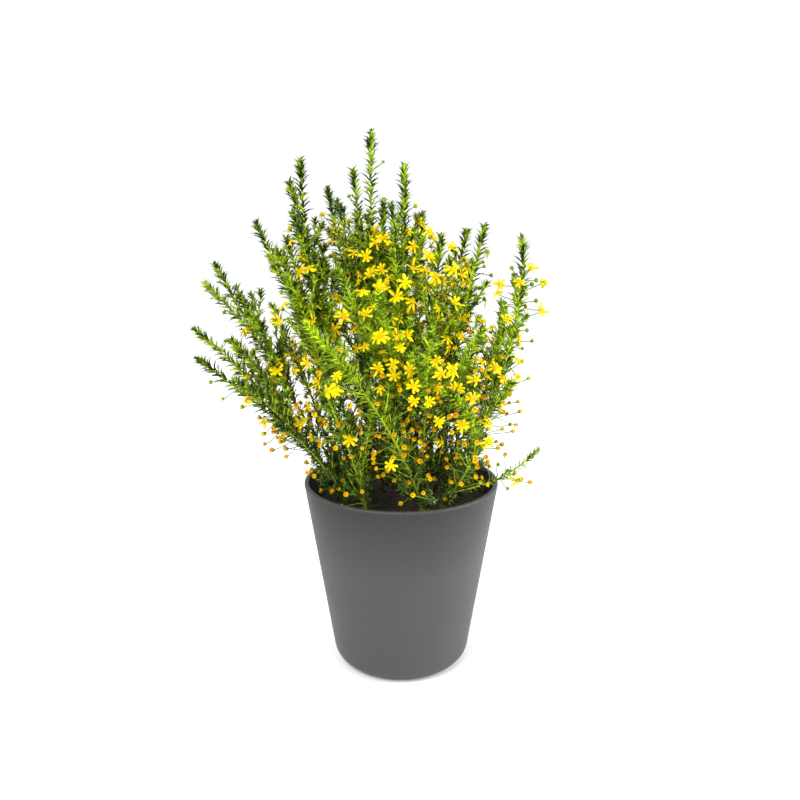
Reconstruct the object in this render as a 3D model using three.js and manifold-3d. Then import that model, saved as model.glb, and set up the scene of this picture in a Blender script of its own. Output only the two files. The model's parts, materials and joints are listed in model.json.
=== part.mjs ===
// A potted honey euryops: a tapered pot, its soil, leafy stems with needle leaves, and sprays of small
// yellow flowers.
// Millimetres, +Z up, the origin on the table at the middle of the pot's foot, the front towards -Y.
import * as THREE from "three";
import { mergeVertices } from "three/addons/utils/BufferGeometryUtils.js";
import Module from "manifold-3d";

// The pot, a tapered cup with a softly rounded foot and lip
const POT_HEIGHT = 143;
const RIM_RADIUS = 72.5;
const FOOT_RADIUS = 50;
const FOOT_ROUND = 14;
const LIP_ROUND = 1.2;
const WALL = 3.4;
const FLOOR = 5;
const POT_SEGMENTS = 32;
const FOOT_STEPS = 5;
const LIP_STEPS = 2;
const FIT_GAP = 0.3;

// The soil, level below the lip and gently waved on top, with a plain hole for each stem
const SOIL_LEVEL = 127;
const SOIL_RINGS = [48, 24];
const SOIL_BUMP = 1.4;
const SOIL_WAVE_X = 0.13;
const SOIL_WAVE_Y = 0.17;
const SOIL_SLANT = 0.08;
const ROOT_DEPTH = 18;
const ROOT_LEAD = 6;
const HOLE_CLEARANCE = 0.75;
const HOLE_SIDES = 6;

// Stems, each a slim three-sided core with whorls of pointed leaves along it
const STEM_RADIUS = 1.2;
const SHOOT_RADIUS = 1.0;
const CORE_SIDES = 3;
const ROUTE_STEPS = 12;
const EARLY_SPREAD = 0.28;
const EARLY_RISE = 0.46;
const WHORL_HEIGHT = 1.3;
const MOST_SAG = 0.12;
const WHORL_TURN = (2 * Math.PI) / 9;
const LEAF_LENGTH = 8.5;
const TUFT_LEAF_LENGTH = 7;
const LEAF_REACH = 0.5;
const LEAF_ROOT_REACH = 1.0;
const LEAF_ROOT_SHARE = 0.2;
const TUFT = 36;
const TIP_WHORL = 2;
const TUFT_SPACING = 8;
const WHORL_SPACING = 40;
const BARE_ABOVE_SOIL = 12;
const BARE_AT_FORK = 7;
const LEAN_AT_TIP = 0.4;
const LEAN_IN_TUFT = 0.8;
const LEAN_BELOW = 1.0;
const GOLDEN_ANGLE = Math.PI * (3 - Math.sqrt(5));

// Flower sprays: a small knot beside the stem, and thin pedicels from it with a head on each
const KNOT_RADIUS = 1.0;
const KNOT_GAP = 0.15;
const KNOT_SIDES_TRIED = 8;
const PEDICEL_RADIUS = 0.42;
const PEDICEL_SIDES = 3;
const PEDICEL_SHORTEST = 12;
const PEDICEL_LONGEST = 25;
const PEDICEL_LEAST_LEAN = 0.3;
const PEDICEL_MOST_LEAN = 1.35;
const PEDICEL_SWING = 1.9;
const PEDICEL_CLEAR_FROM = 3;
const FACING_LIFT = 0.4;
const BLOOM_RADIUS = 5.3;
const BLOOM_PETALS = 5;
const PETAL_NOTCH = 0.42;
const BLOOM_HALF_HEIGHT = 1.3;
const BLOOM_SPOKES = 10;
const BLOOM_SPOKE_LENGTH = 4.8;
const BUTTON_RADIUS = 2.3;
const BUTTON_HALF_HEIGHT = 1.84;
const BUTTON_SIDES = 4;
const HEAD_TRIES = 200;
const CLEARANCE = 0.45;
const BALL_ROD = 0.1;
const SEED = 20261;

// Each leafy stem: where it leaves the soil (x, y), and its shoots. A shoot has its tip, then how far up
// the main shoot it forks (0 for the main one), then a point that it bends towards, where it isn't plain.
const STEMS = {
  a: {
    root: [-6, 7],
    shoots: [
      [-21, 15, 395, 0, [-25, 12, 290]],
      [-12, -2, 348, 0.45],
      [4, 24, 352, 0.5],
    ],
  },
  b: {
    root: [-23, 3],
    shoots: [
      [-71, 10, 376, 0, [-72, 10, 272]],
      [-82, 33, 361, 0.55],
      [-74, -20, 340, 0.4],
    ],
  },
  c: {
    root: [-14, 21],
    shoots: [
      [-36, 45, 370, 0],
      [-50, 64, 346, 0.4],
      [-33, 22, 338, 0.5],
    ],
  },
  d: {
    root: [1, -9],
    shoots: [
      [2, -15, 371, 0],
      [-5, -46, 326, 0.35],
      [-14, -85, 292, 0.25],
    ],
  },
  e: {
    root: [-33, -9],
    shoots: [
      [-101, -10, 333, 0],
      [-84, -38, 317, 0.4],
      [-83, 14, 322, 0.5],
    ],
  },
  f: {
    root: [-22, 36],
    shoots: [
      [-58, 80, 356, 0],
      [-46, 108, 313, 0.4],
      [-72, 98, 232, 0.25],
    ],
  },
  g: {
    root: [-42, 14],
    shoots: [
      [-137, 20, 302, 0, [-92, 18, 215]],
      [-150, 42, 285, 0.6],
      [-117, -3, 283, 0.45],
      [-105, 82, 264, 0.2],
    ],
  },
  h: {
    root: [-47, -5],
    shoots: [
      [-147, -12, 259, 0],
      [-119, -31, 255, 0.45],
      [-124, 17, 244, 0.4],
    ],
  },
  i: {
    root: [-39, -21],
    shoots: [
      [-139, -42, 243, 0],
      [-111, -59, 232, 0.4],
      [-87, -50, 200, 0.3],
    ],
  },
  j: {
    root: [5, 23],
    shoots: [
      [16, 38, 334, 0],
      [-8, 95, 344, 0.2],
      [-24, 72, 322, 0.3],
    ],
  },
  k: {
    root: [14, -19],
    shoots: [
      [27, -25, 325, 0],
      [18, -100, 271, 0.3],
      [-42, -62, 306, 0.15],
    ],
  },
  l: {
    root: [20, 12],
    shoots: [
      [49, 35, 326, 0],
      [40, 98, 300, 0.25],
    ],
  },
  m: {
    root: [25, -5],
    shoots: [
      [59, 0, 331, 0],
      [53, -62, 266, 0.3],
    ],
  },
  n: {
    root: [38, -12],
    shoots: [
      [83, -15, 323, 0, [92, -14, 254]],
      [78, 26, 270, 0.3],
      [76, -46, 228, 0.35],
    ],
  },
  q: {
    root: [15, -42],
    shoots: [
      [-61, -86, 274, 0, [-2, -60, 205]],
      [22, -79, 153, 0.16, [17, -62, 152]],
    ],
  },
  r: {
    root: [-25, -36],
    shoots: [
      [-58, -64, 240, 0],
      [-18, -62, 214, 0.3],
    ],
  },
  s: {
    root: [29, -31],
    shoots: [
      [27, -98, 233, 0, [72, -58, 196]],
      [97, -36, 178, 0.25, [78, -40, 154]],
    ],
  },
  y: {
    root: [34, 22],
    shoots: [
      [85, 82, 245, 0],
      [84, 26, 206, 0.3],
      [48, 96, 214, 0.35],
    ],
  },
};

// Each flower spray: its stem, the shoot's place in that stem's list, how far below the shoot's tip it
// sits, how many heads it has, and how many of them are open blooms; the rest are round buttons.
const SPRAYS = [
  ["a", 0, 92, 7, 6],
  ["a", 1, 62, 7, 6],
  ["b", 0, 74, 7, 7],
  ["b", 2, 88, 7, 4],
  ["c", 0, 96, 7, 5],
  ["d", 0, 58, 7, 7],
  ["d", 1, 46, 7, 7],
  ["d", 2, 62, 8, 6],
  ["d", 0, 150, 8, 2],
  ["e", 1, 60, 7, 5],
  ["e", 0, 112, 8, 2],
  ["f", 0, 80, 7, 5],
  ["g", 0, 98, 8, 5],
  ["g", 3, 62, 7, 4],
  ["h", 1, 52, 7, 4],
  ["h", 0, 96, 8, 1],
  ["i", 0, 92, 8, 2],
  ["i", 2, 34, 7, 0],
  ["j", 0, 34, 7, 7],
  ["j", 1, 70, 7, 4],
  ["k", 0, 30, 7, 6],
  ["k", 0, 84, 7, 6],
  ["k", 0, 150, 8, 1],
  ["k", 1, 64, 8, 4],
  ["k", 2, 78, 8, 4],
  ["l", 0, 86, 7, 5],
  ["l", 1, 62, 7, 4],
  ["m", 0, 84, 7, 4],
  ["m", 1, 56, 8, 5],
  ["m", 0, 150, 8, 1],
  ["n", 0, 104, 8, 4],
  ["n", 1, 52, 7, 4],
  ["n", 2, 44, 8, 2],
  ["q", 0, 52, 7, 5],
  ["q", 0, 124, 8, 1],
  ["q", 1, 12, 2, 0],
  ["r", 0, 60, 8, 1],
  ["s", 0, 60, 8, 2],
  ["s", 1, 34, 2, 1],
  ["y", 0, 56, 7, 4],
];

// Colours as read by eye off the plant
const POT_FINISH = { color: 0x5b5b59, roughness: 0.6, metalness: 0 };
const SOIL_FINISH = { color: 0x2a211b, roughness: 0.98, metalness: 0 };
const LEAF_FINISH = { color: 0x4f8a22, roughness: 0.55, metalness: 0 };
const FLOWER_FINISH = { color: 0xf2c80f, roughness: 0.6, metalness: 0 };

const wasm = await Module();
wasm.setup();

// A repeatable draw of numbers between 0 and 1
class Draw {
  constructor(seed) {
    this.state = seed;
  }
  next() {
    this.state = (this.state * 16807) % 2147483647;
    return this.state / 2147483647;
  }
  between(low, high) {
    return low + (high - low) * this.next();
  }
}

// The closest distance between segments ab and cd
function segmentDistance(a, b, c, d) {
  const u = b.clone().sub(a);
  const v = d.clone().sub(c);
  const w = a.clone().sub(c);
  const uu = u.dot(u);
  const uv = u.dot(v);
  const vv = v.dot(v);
  const uw = u.dot(w);
  const vw = v.dot(w);
  const clamp = (t) => Math.min(1, Math.max(0, t));
  const spread = uu * vv - uv * uv;
  let s = spread > 1e-9 ? clamp((uv * vw - vv * uw) / spread) : 0;
  const t = clamp((uv * s + vw) / vv);
  s = clamp((uv * t - uw) / uu);
  return w.addScaledVector(u, s).addScaledVector(v, -t).length();
}

// Every rod placed so far, so that a new one can be kept clear of other pieces
class Space {
  constructor() {
    this.rods = [];
  }
  add(owner, rods) {
    for (const [a, b, radius] of rods) {
      const middle = a.clone().add(b).multiplyScalar(0.5);
      this.rods.push({ owner, a, b, radius, middle, reach: a.distanceTo(b) / 2 + radius });
    }
  }
  isClear(owner, rods) {
    return rods.every(([a, b, radius]) => {
      const middle = a.clone().add(b).multiplyScalar(0.5);
      const reach = a.distanceTo(b) / 2 + radius + CLEARANCE;
      return this.rods.every(
        (rod) =>
          rod.owner === owner ||
          middle.distanceTo(rod.middle) > reach + rod.reach ||
          segmentDistance(a, b, rod.a, rod.b) > radius + rod.radius + CLEARANCE,
      );
    });
  }
}

// Any unit direction at right angles to the given one, and the direction turned by an angle round it
function across(direction) {
  const up = new THREE.Vector3(0, 0, 1);
  const side = new THREE.Vector3().crossVectors(up, direction);
  return side.lengthSq() > 1e-6 ? side.normalize() : new THREE.Vector3(1, 0, 0);
}
function around(direction, angle) {
  const side = across(direction);
  const front = new THREE.Vector3().crossVectors(direction, side);
  return side.multiplyScalar(Math.cos(angle)).addScaledVector(front, Math.sin(angle));
}

// The pot's inner radius at a height, and whether a rod keeps out of the pot's wall, lip and soil
function innerRadius(z) {
  return FOOT_RADIUS + ((RIM_RADIUS - FOOT_RADIUS) * z) / POT_HEIGHT - WALL;
}
function missesPot(rods) {
  return rods.every(([a, b, radius]) =>
    [0, 0.5, 1].every((t) => {
      const p = a.clone().lerp(b, t);
      const out = Math.hypot(p.x, p.y);
      const aboveSoil = p.z - radius > SOIL_LEVEL + SOIL_BUMP + CLEARANCE;
      const aboveLip = p.z - radius > POT_HEIGHT + CLEARANCE;
      return aboveSoil && (aboveLip || out + radius < innerRadius(p.z) - CLEARANCE);
    }),
  );
}

// The core's radius in a stem's main shoot, the first, and in its side shoots
function coreRadius(number) {
  return number === 0 ? STEM_RADIUS : SHOOT_RADIUS;
}

// The points of a shoot's middle line, from its root or fork to its tip
function shootRoute(start, tip, bend) {
  const early = new THREE.Vector3(EARLY_SPREAD, EARLY_SPREAD, EARLY_RISE);
  const plain = tip.clone().sub(start).multiply(early).add(start);
  const via = bend ? new THREE.Vector3(...bend) : plain;
  return new THREE.QuadraticBezierCurve3(start, via, tip).getPoints(ROUTE_STEPS);
}

// The point and direction at a distance below the tip, along a shoot's points
function belowTip(points, distance) {
  let left = distance;
  for (let i = points.length - 1; i > 0; i--) {
    const step = points[i].distanceTo(points[i - 1]);
    const heading = points[i].clone().sub(points[i - 1]).divideScalar(step);
    if (left <= step || i === 1) {
      const point = points[i].clone().addScaledVector(heading, -left);
      return { point, heading };
    }
    left -= step;
  }
}
function lengthOf(points) {
  return points.slice(1).reduce((sum, p, i) => sum + p.distanceTo(points[i]), 0);
}

// Solids from geometries, solids joined into one body, and a named mesh from a solid
function solidOf(geometry) {
  geometry.deleteAttribute("normal");
  geometry.deleteAttribute("uv");
  const merged = mergeVertices(geometry, 1e-4);
  return new wasm.Manifold(
    new wasm.Mesh({
      numProp: 3,
      vertProperties: new Float32Array(merged.attributes.position.array),
      triVerts: new Uint32Array(merged.index.array),
    }),
  );
}
function joined(solids) {
  const bodies = solids.reduce((all, solid) => all.add(solid)).decompose();
  return bodies.reduce((most, body) => (body.volume() > most.volume() ? body : most));
}
function meshOf(name, solid, finish) {
  const made = solid.getMesh();
  const geometry = new THREE.BufferGeometry();
  geometry.setAttribute("position", new THREE.BufferAttribute(made.vertProperties, 3));
  geometry.setIndex(new THREE.BufferAttribute(made.triVerts, 1));
  geometry.computeVertexNormals();
  const mesh = new THREE.Mesh(geometry, new THREE.MeshStandardMaterial(finish));
  mesh.name = name;
  return mesh;
}

// A closed skin put together from corners, bands between rings of corners, and fans that close on a point
class Skin {
  constructor() {
    this.corners = [];
    this.triangles = [];
  }
  corner(point) {
    return this.corners.push(point) - 1;
  }
  band(lower, upper) {
    for (let i = 0; i < lower.length; i++) {
      const next = (i + 1) % lower.length;
      this.triangles.push([lower[i], lower[next], upper[i]], [lower[next], upper[next], upper[i]]);
    }
  }
  fan(loop, tip) {
    loop.forEach((here, i) => this.triangles.push([here, loop[(i + 1) % loop.length], tip]));
  }
  patch(loop) {
    for (let i = 2; i < loop.length; i++) this.triangles.push([loop[0], loop[i - 1], loop[i]]);
  }
  solid() {
    const geometry = new THREE.BufferGeometry();
    const places = this.corners.flatMap((corner) => corner.toArray());
    geometry.setAttribute("position", new THREE.Float32BufferAttribute(places, 3));
    geometry.setIndex(this.triangles.flat());
    return solidOf(geometry);
  }
}

// The rods that stand for a ball, and for a head and its pedicel, when they are kept clear of other pieces
function ballRod(centre, direction, radius) {
  return [centre, centre.clone().addScaledVector(direction, BALL_ROD), radius];
}
function headRods({ knot, aim, centre, facing, open }) {
  const rods = [[knot.clone().addScaledVector(aim, PEDICEL_CLEAR_FROM), centre, PEDICEL_RADIUS]];
  if (!open) return [...rods, ballRod(centre, facing, BUTTON_RADIUS)];
  for (let i = 0; i < BLOOM_SPOKES; i++) {
    const out = around(facing, (2 * Math.PI * i) / BLOOM_SPOKES);
    const end = centre.clone().addScaledVector(out, BLOOM_SPOKE_LENGTH);
    rods.push([centre, end, BLOOM_HALF_HEIGHT]);
  }
  return rods;
}

// Stems first: each shoot's middle line
const space = new Space();
const stems = Object.entries(STEMS).map(([name, { root, shoots }]) => {
  const foot = new THREE.Vector3(root[0], root[1], SOIL_LEVEL - ROOT_DEPTH);
  const lead = new THREE.Vector3(root[0], root[1], SOIL_LEVEL + ROOT_LEAD);
  const routes = [];
  for (const [x, y, z, fork, bend] of shoots) {
    const tip = new THREE.Vector3(x, y, z);
    const start = fork ? belowTip(routes[0], lengthOf(routes[0]) * (1 - fork)).point : lead;
    const route = shootRoute(start, tip, bend);
    routes.push(fork ? route : [foot, ...route]);
  }
  for (const [number, route] of routes.entries()) {
    space.add(name, route.slice(1).map((p, i) => [route[i], p, coreRadius(number)]));
  }
  return { name, foot, routes };
});

// The directions in which a knot's faces look, each of which can carry one pedicel
const knotFaces = [];
const knotCorners = new THREE.IcosahedronGeometry(KNOT_RADIUS, 0).attributes.position;
for (let i = 0; i < knotCorners.count; i += 3) {
  const corners = [0, 1, 2].map((k) => new THREE.Vector3().fromBufferAttribute(knotCorners, i + k));
  const outward = corners.reduce((sum, corner) => sum.add(corner), new THREE.Vector3()).normalize();
  knotFaces.push({ corners, outward });
}
function nearestFace(aim) {
  return knotFaces.reduce((best, face) => (face.outward.dot(aim) > best.outward.dot(aim) ? face : best));
}

// Then the sprays: a knot on the first free side of its stem, and heads drawn until enough of them are clear
const draw = new Draw(SEED);
function knotBeside(stem, shoot, distance, number, name) {
  const { point, heading } = belowTip(stem.routes[shoot], distance);
  for (let turn = 0; turn < KNOT_SIDES_TRIED; turn++) {
    const side = around(heading, number * GOLDEN_ANGLE + (2 * Math.PI * turn) / KNOT_SIDES_TRIED);
    const knot = point.clone().addScaledVector(side, coreRadius(shoot) + KNOT_RADIUS + KNOT_GAP);
    const core = ballRod(knot, side, KNOT_RADIUS - CLEARANCE);
    if (space.isClear(name, [core])) return { knot, side, heading };
  }
  throw new Error(name + " has no free side on its stem");
}
const sprays = SPRAYS.map(([stemName, shoot, distance, count, open], number) => {
  const name = "spray_" + stemName + "_" + (number + 1);
  const stem = stems.find((one) => one.name === stemName);
  const { knot, side, heading } = knotBeside(stem, shoot, distance, number, name);
  space.add(name, [ballRod(knot, side, KNOT_RADIUS)]);
  const heads = [];
  for (let tried = 0; tried < HEAD_TRIES && heads.length < count; tried++) {
    const lean = draw.between(PEDICEL_LEAST_LEAN, PEDICEL_MOST_LEAN);
    const turned = side.clone().applyAxisAngle(heading, draw.between(-PEDICEL_SWING, PEDICEL_SWING));
    const aim = heading.clone().multiplyScalar(Math.cos(lean)).addScaledVector(turned, Math.sin(lean));
    const centre = knot.clone().addScaledVector(aim, draw.between(PEDICEL_SHORTEST, PEDICEL_LONGEST));
    const facing = aim.clone().add(new THREE.Vector3(0, 0, FACING_LIFT)).normalize();
    const head = { knot, aim, centre, facing, face: nearestFace(aim), open: heads.length < open };
    const rods = headRods(head);
    const isFree = heads.every((other) => other.face !== head.face) && missesPot(rods);
    if (isFree && space.isClear(null, rods)) {
      heads.push(head);
      space.add(name, rods);
    }
  }
  return { name, knot, heads };
});

// Last the leaves. A shoot is one closed skin: rings of corners from its foot to its pointed tip, two to each
// whorl, with a leaf drawn out of each face between those two unless another piece is in its way.
function leafyShoot(owner, route, number) {
  const isMain = number === 0;
  const skin = new Skin();
  const total = lengthOf(route);
  let side = new THREE.Vector3(1, 0, 0);
  const ring = (down, turn) => {
    const { point, heading } = belowTip(route, down);
    side = side.clone().addScaledVector(heading, -side.dot(heading)).normalize();
    return [...Array(CORE_SIDES).keys()].map((i) => {
      const out = side.clone().applyAxisAngle(heading, turn + (2 * Math.PI * i) / CORE_SIDES);
      return skin.corner(point.clone().addScaledVector(out, coreRadius(number)));
    });
  };
  let below = ring(total, 0);
  let belowAt = total;
  let belowTurn = 0;
  skin.patch(below.toReversed());
  const climb = (down, turn) => {
    const halfway = (belowAt + down) / 2;
    const chord = belowTip(route, belowAt).point.lerp(belowTip(route, down).point, 0.5);
    const sag = chord.distanceTo(belowTip(route, halfway).point);
    if (sag > MOST_SAG) climb(halfway, (belowTurn + turn) / 2);
    const here = ring(down, turn);
    skin.band(below, here);
    below = here;
    belowAt = down;
    belowTurn = turn;
    return here;
  };
  if (isMain) climb(total - ROOT_DEPTH - ROOT_LEAD / 2, 0);
  const bare = isMain ? ROOT_DEPTH + BARE_ABOVE_SOIL : BARE_AT_FORK;
  const places = [];
  const spacing = (down) => (down < TUFT ? TUFT_SPACING : WHORL_SPACING);
  for (let down = TIP_WHORL; down < total - bare; down += spacing(down)) places.unshift(down);
  places.forEach((down, whorl) => {
    const lower = climb(down + WHORL_HEIGHT / 2, whorl * WHORL_TURN);
    const upper = ring(down - WHORL_HEIGHT / 2, whorl * WHORL_TURN);
    for (let i = 0; i < CORE_SIDES; i++) {
      const next = (i + 1) % CORE_SIDES;
      const loop = [lower[i], lower[next], upper[next], upper[i]];
      const tip = leafTip(owner, route, down, loop.map((k) => skin.corners[k]));
      if (tip) skin.fan(loop, skin.corner(tip));
      else skin.patch(loop);
    }
    below = upper;
    belowAt = down - WHORL_HEIGHT / 2;
  });
  skin.fan(below, skin.corner(route.at(-1)));
  return skin.solid();
}

// Where the leaf drawn out of a face ends, or nothing where the way is not clear
function leafTip(owner, route, down, face) {
  const { point, heading } = belowTip(route, down);
  const lean = down <= TIP_WHORL ? LEAN_AT_TIP : down < TUFT ? LEAN_IN_TUFT : LEAN_BELOW;
  const root = face.reduce((sum, corner) => sum.add(corner), new THREE.Vector3()).divideScalar(face.length);
  const out = root.clone().sub(point).normalize();
  const aim = heading.clone().multiplyScalar(Math.cos(lean)).addScaledVector(out, Math.sin(lean));
  const tip = root.clone().addScaledVector(aim, down < TUFT ? TUFT_LEAF_LENGTH : LEAF_LENGTH);
  const thick = root.clone().lerp(tip, LEAF_ROOT_SHARE);
  const rods = [[root, tip, LEAF_REACH], [root, thick, LEAF_ROOT_REACH]];
  if (!missesPot(rods) || !space.isClear(owner, rods)) return null;
  space.add(owner, rods);
  return tip;
}

// The pot: its foot and lip are arcs, its wall one straight taper
function makePot() {
  const taper = Math.atan2(RIM_RADIUS - FOOT_RADIUS, POT_HEIGHT);
  const footFlat = FOOT_RADIUS - FOOT_ROUND / Math.tan((Math.PI / 2 + taper) / 2);
  const lipHeight = POT_HEIGHT - LIP_ROUND;
  const upright = Math.PI / 2;
  const profile = [new THREE.Vector2(0, 0)];
  const arc = (x, z, radius, from, to, steps) => {
    for (let i = 0; i <= steps; i++) {
      const angle = from + ((to - from) * i) / steps;
      profile.push(new THREE.Vector2(x + radius * Math.cos(angle), z + radius * Math.sin(angle)));
    }
  };
  arc(footFlat, FOOT_ROUND, FOOT_ROUND, -upright, -taper, FOOT_STEPS);
  arc(RIM_RADIUS - LIP_ROUND, lipHeight, LIP_ROUND, -taper, upright, LIP_STEPS);
  arc(RIM_RADIUS - WALL + LIP_ROUND, lipHeight, LIP_ROUND, upright, Math.PI - taper, LIP_STEPS);
  profile.push(new THREE.Vector2(innerRadius(FLOOR), FLOOR), new THREE.Vector2(0, FLOOR));
  const cup = new THREE.LatheGeometry(profile, POT_SEGMENTS).rotateX(Math.PI / 2);
  return meshOf("pot", solidOf(cup), POT_FINISH);
}

// The soil: a plug with a raised and sunken top and a plain hole for each stem
function soilHeight(x, y) {
  return (SOIL_BUMP / 2) * (Math.sin(SOIL_WAVE_X * x + 1) + Math.cos(SOIL_WAVE_Y * y + SOIL_SLANT * x));
}
function makeSoil() {
  const floorRadius = innerRadius(FLOOR) - 2 * FIT_GAP;
  const topRadius = innerRadius(SOIL_LEVEL) - 2 * FIT_GAP;
  const outline = [
    [0, FLOOR + FIT_GAP],
    [floorRadius, FLOOR + FIT_GAP],
    [topRadius, SOIL_LEVEL],
    ...SOIL_RINGS.map((radius) => [radius, SOIL_LEVEL]),
    [0, SOIL_LEVEL],
  ];
  const profile = outline.map(([radius, z]) => new THREE.Vector2(radius, z));
  const plug = new THREE.LatheGeometry(profile, POT_SEGMENTS).rotateX(Math.PI / 2);
  const place = plug.attributes.position;
  for (let i = 0; i < place.count; i++) {
    const [x, y] = [place.getX(i), place.getY(i)];
    const onTop = place.getZ(i) > SOIL_LEVEL - 1 && Math.hypot(x, y) < topRadius - 1;
    if (onTop) place.setZ(i, SOIL_LEVEL + soilHeight(x, y));
  }
  const depth = ROOT_DEPTH + FIT_GAP + 2 * SOIL_BUMP;
  const holeRadius = STEM_RADIUS + HOLE_CLEARANCE;
  const holes = stems.map(({ foot }) => {
    const hole = new THREE.CylinderGeometry(holeRadius, holeRadius, depth, HOLE_SIDES);
    hole.rotateX(Math.PI / 2).translate(foot.x, foot.y, foot.z - FIT_GAP + depth / 2);
    return solidOf(hole);
  });
  const soil = holes.reduce((left, hole) => left.subtract(hole), solidOf(plug));
  return meshOf("soil", soil, SOIL_FINISH);
}

function makeStem(stem) {
  const owner = stem.name;
  const shoots = stem.routes.map((route, number) => leafyShoot(owner, route, number));
  return meshOf("stem_" + stem.name, joined(shoots), LEAF_FINISH);
}

// A spray as one closed skin: the knot, and from one of its faces for each head a pedicel that opens into a
// ring of corners and closes at the crown. A bloom's ring is a star of petals, a button's ring is round.
function makeSpray(spray) {
  const skin = new Skin();
  for (const face of knotFaces) {
    const root = face.corners.map((corner) => skin.corner(corner.clone().add(spray.knot)));
    const head = spray.heads.find((one) => one.face === face);
    if (head) addHead(skin, root, head);
    else skin.patch(root);
  }
  return meshOf(spray.name, skin.solid(), FLOWER_FINISH);
}
function addHead(skin, root, head) {
  const count = head.open ? 2 * BLOOM_PETALS : BUTTON_SIDES;
  const reach = head.open ? BLOOM_RADIUS : BUTTON_RADIUS;
  const half = head.open ? BLOOM_HALF_HEIGHT : BUTTON_HALF_HEIGHT;
  const [first, second, third] = root.map((k) => skin.corners[k]);
  const side = first.clone().multiplyScalar(2).sub(second).sub(third);
  side.addScaledVector(head.facing, -side.dot(head.facing)).normalize();
  const corner = (centre, radius, turn) => {
    const out = side.clone().applyAxisAngle(head.facing, 2 * Math.PI * turn);
    return skin.corner(centre.clone().addScaledVector(out, radius));
  };
  const bottom = head.centre.clone().addScaledVector(head.facing, -half);
  const neck = root.map((_, i) => corner(bottom, PEDICEL_RADIUS, i / PEDICEL_SIDES));
  skin.band(root, neck);
  const crown = [...Array(count).keys()].map((i) => {
    return corner(head.centre, head.open && i % 2 ? reach * PETAL_NOTCH : reach, i / count);
  });
  const under = (i) => neck[Math.floor((PEDICEL_SIDES * i) / count) % PEDICEL_SIDES];
  crown.forEach((here, i) => {
    const next = crown[(i + 1) % count];
    skin.triangles.push([under(i), next, here]);
    if (under(i) !== under(i + 1)) skin.triangles.push([under(i), under(i + 1), next]);
  });
  skin.fan(crown, skin.corner(head.centre.clone().addScaledVector(head.facing, half)));
}

const plant = new THREE.Group();
plant.add(makePot(), makeSoil());
for (const stem of stems) plant.add(makeStem(stem));
for (const spray of sprays) plant.add(makeSpray(spray));

export default plant;
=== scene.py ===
import functools
import json
import math

import bpy
import numpy as np
from bpy.props import FloatProperty, FloatVectorProperty, IntProperty, PointerProperty
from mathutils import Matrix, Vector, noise

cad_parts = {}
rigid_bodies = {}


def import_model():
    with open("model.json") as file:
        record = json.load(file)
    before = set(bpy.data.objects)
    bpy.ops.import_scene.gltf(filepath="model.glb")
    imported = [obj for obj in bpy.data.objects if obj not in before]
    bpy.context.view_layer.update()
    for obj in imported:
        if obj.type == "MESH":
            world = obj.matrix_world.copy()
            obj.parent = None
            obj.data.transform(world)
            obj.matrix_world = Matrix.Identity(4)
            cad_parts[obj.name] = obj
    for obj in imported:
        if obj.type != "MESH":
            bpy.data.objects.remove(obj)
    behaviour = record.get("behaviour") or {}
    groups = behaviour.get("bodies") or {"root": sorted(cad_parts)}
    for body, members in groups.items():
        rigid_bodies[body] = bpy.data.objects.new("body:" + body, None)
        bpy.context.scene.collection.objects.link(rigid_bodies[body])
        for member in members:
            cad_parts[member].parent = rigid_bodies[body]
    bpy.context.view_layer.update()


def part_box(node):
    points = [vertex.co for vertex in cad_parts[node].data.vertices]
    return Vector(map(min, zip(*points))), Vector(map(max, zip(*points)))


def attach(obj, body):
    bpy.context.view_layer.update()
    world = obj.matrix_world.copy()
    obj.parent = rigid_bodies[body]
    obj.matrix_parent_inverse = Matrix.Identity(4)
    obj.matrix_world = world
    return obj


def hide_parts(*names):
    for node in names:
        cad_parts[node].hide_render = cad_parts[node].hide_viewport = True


# The looks of a potted honey euryops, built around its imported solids. Lengths in the growth rule are in
# millimetres, as its solids were drawn; the finished pieces are in metres.

bl_info = {
    "name": "Potted honey euryops",
    "version": (1, 0, 0),
    "blender": (4, 5, 0),
    "location": "3D View > Sidebar > Euryops",
    "description": "Pot, soil, leafy shoots and flower heads of a potted honey euryops",
    "category": "Add Mesh",
}

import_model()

MM = 0.001
UP = np.array([0.0, 0.0, 1.0])
GOLDEN_ANGLE = math.pi * (3 - math.sqrt(5))
X_AXIS, Y_AXIS, Z_AXIS = (1, 0, 0), (0, 1, 0), (0, 0, 1)

# The pot and its soil
POT_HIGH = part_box("pot")[1]
POT_HEIGHT = POT_HIGH.z / MM
RIM_RADIUS = POT_HIGH.x / MM
FOOT_RADIUS = 50
FOOT_ROUND = 14
LIP_ROUND = 1.2
WALL = 3.4
FLOOR = 5
FIT_GAP = 0.3
WALL_STEPS = 26
SOIL_LEVEL = 127
SOIL_BUMP = 1.4
SOIL_WAVE_X = 0.13
SOIL_WAVE_Y = 0.17
SOIL_SLANT = 0.08
PLUG_SIDES = 120
PLUG_ROUNDS = 34
CRUMB_SEED = 31
CRUMB_PATTERNS = 6
CRUMB_SIDES = 5
CRUMB_TURN = 6.28
SMALL_CRUMBS = 2.5
PLUG_ROUGHNESS = 0.9
PLUG_GRAIN = 5
SMOOTH_EDGE = 6

# The stems' middle lines
ROOT_DEPTH = 18
ROOT_LEAD = 6
STEM_RADIUS = 1.2
SHOOT_RADIUS = 1.0
ROUTE_STEPS = 12
FINE_STEPS = 40
EARLY_SPREAD = 0.28
EARLY_RISE = 0.46

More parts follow.
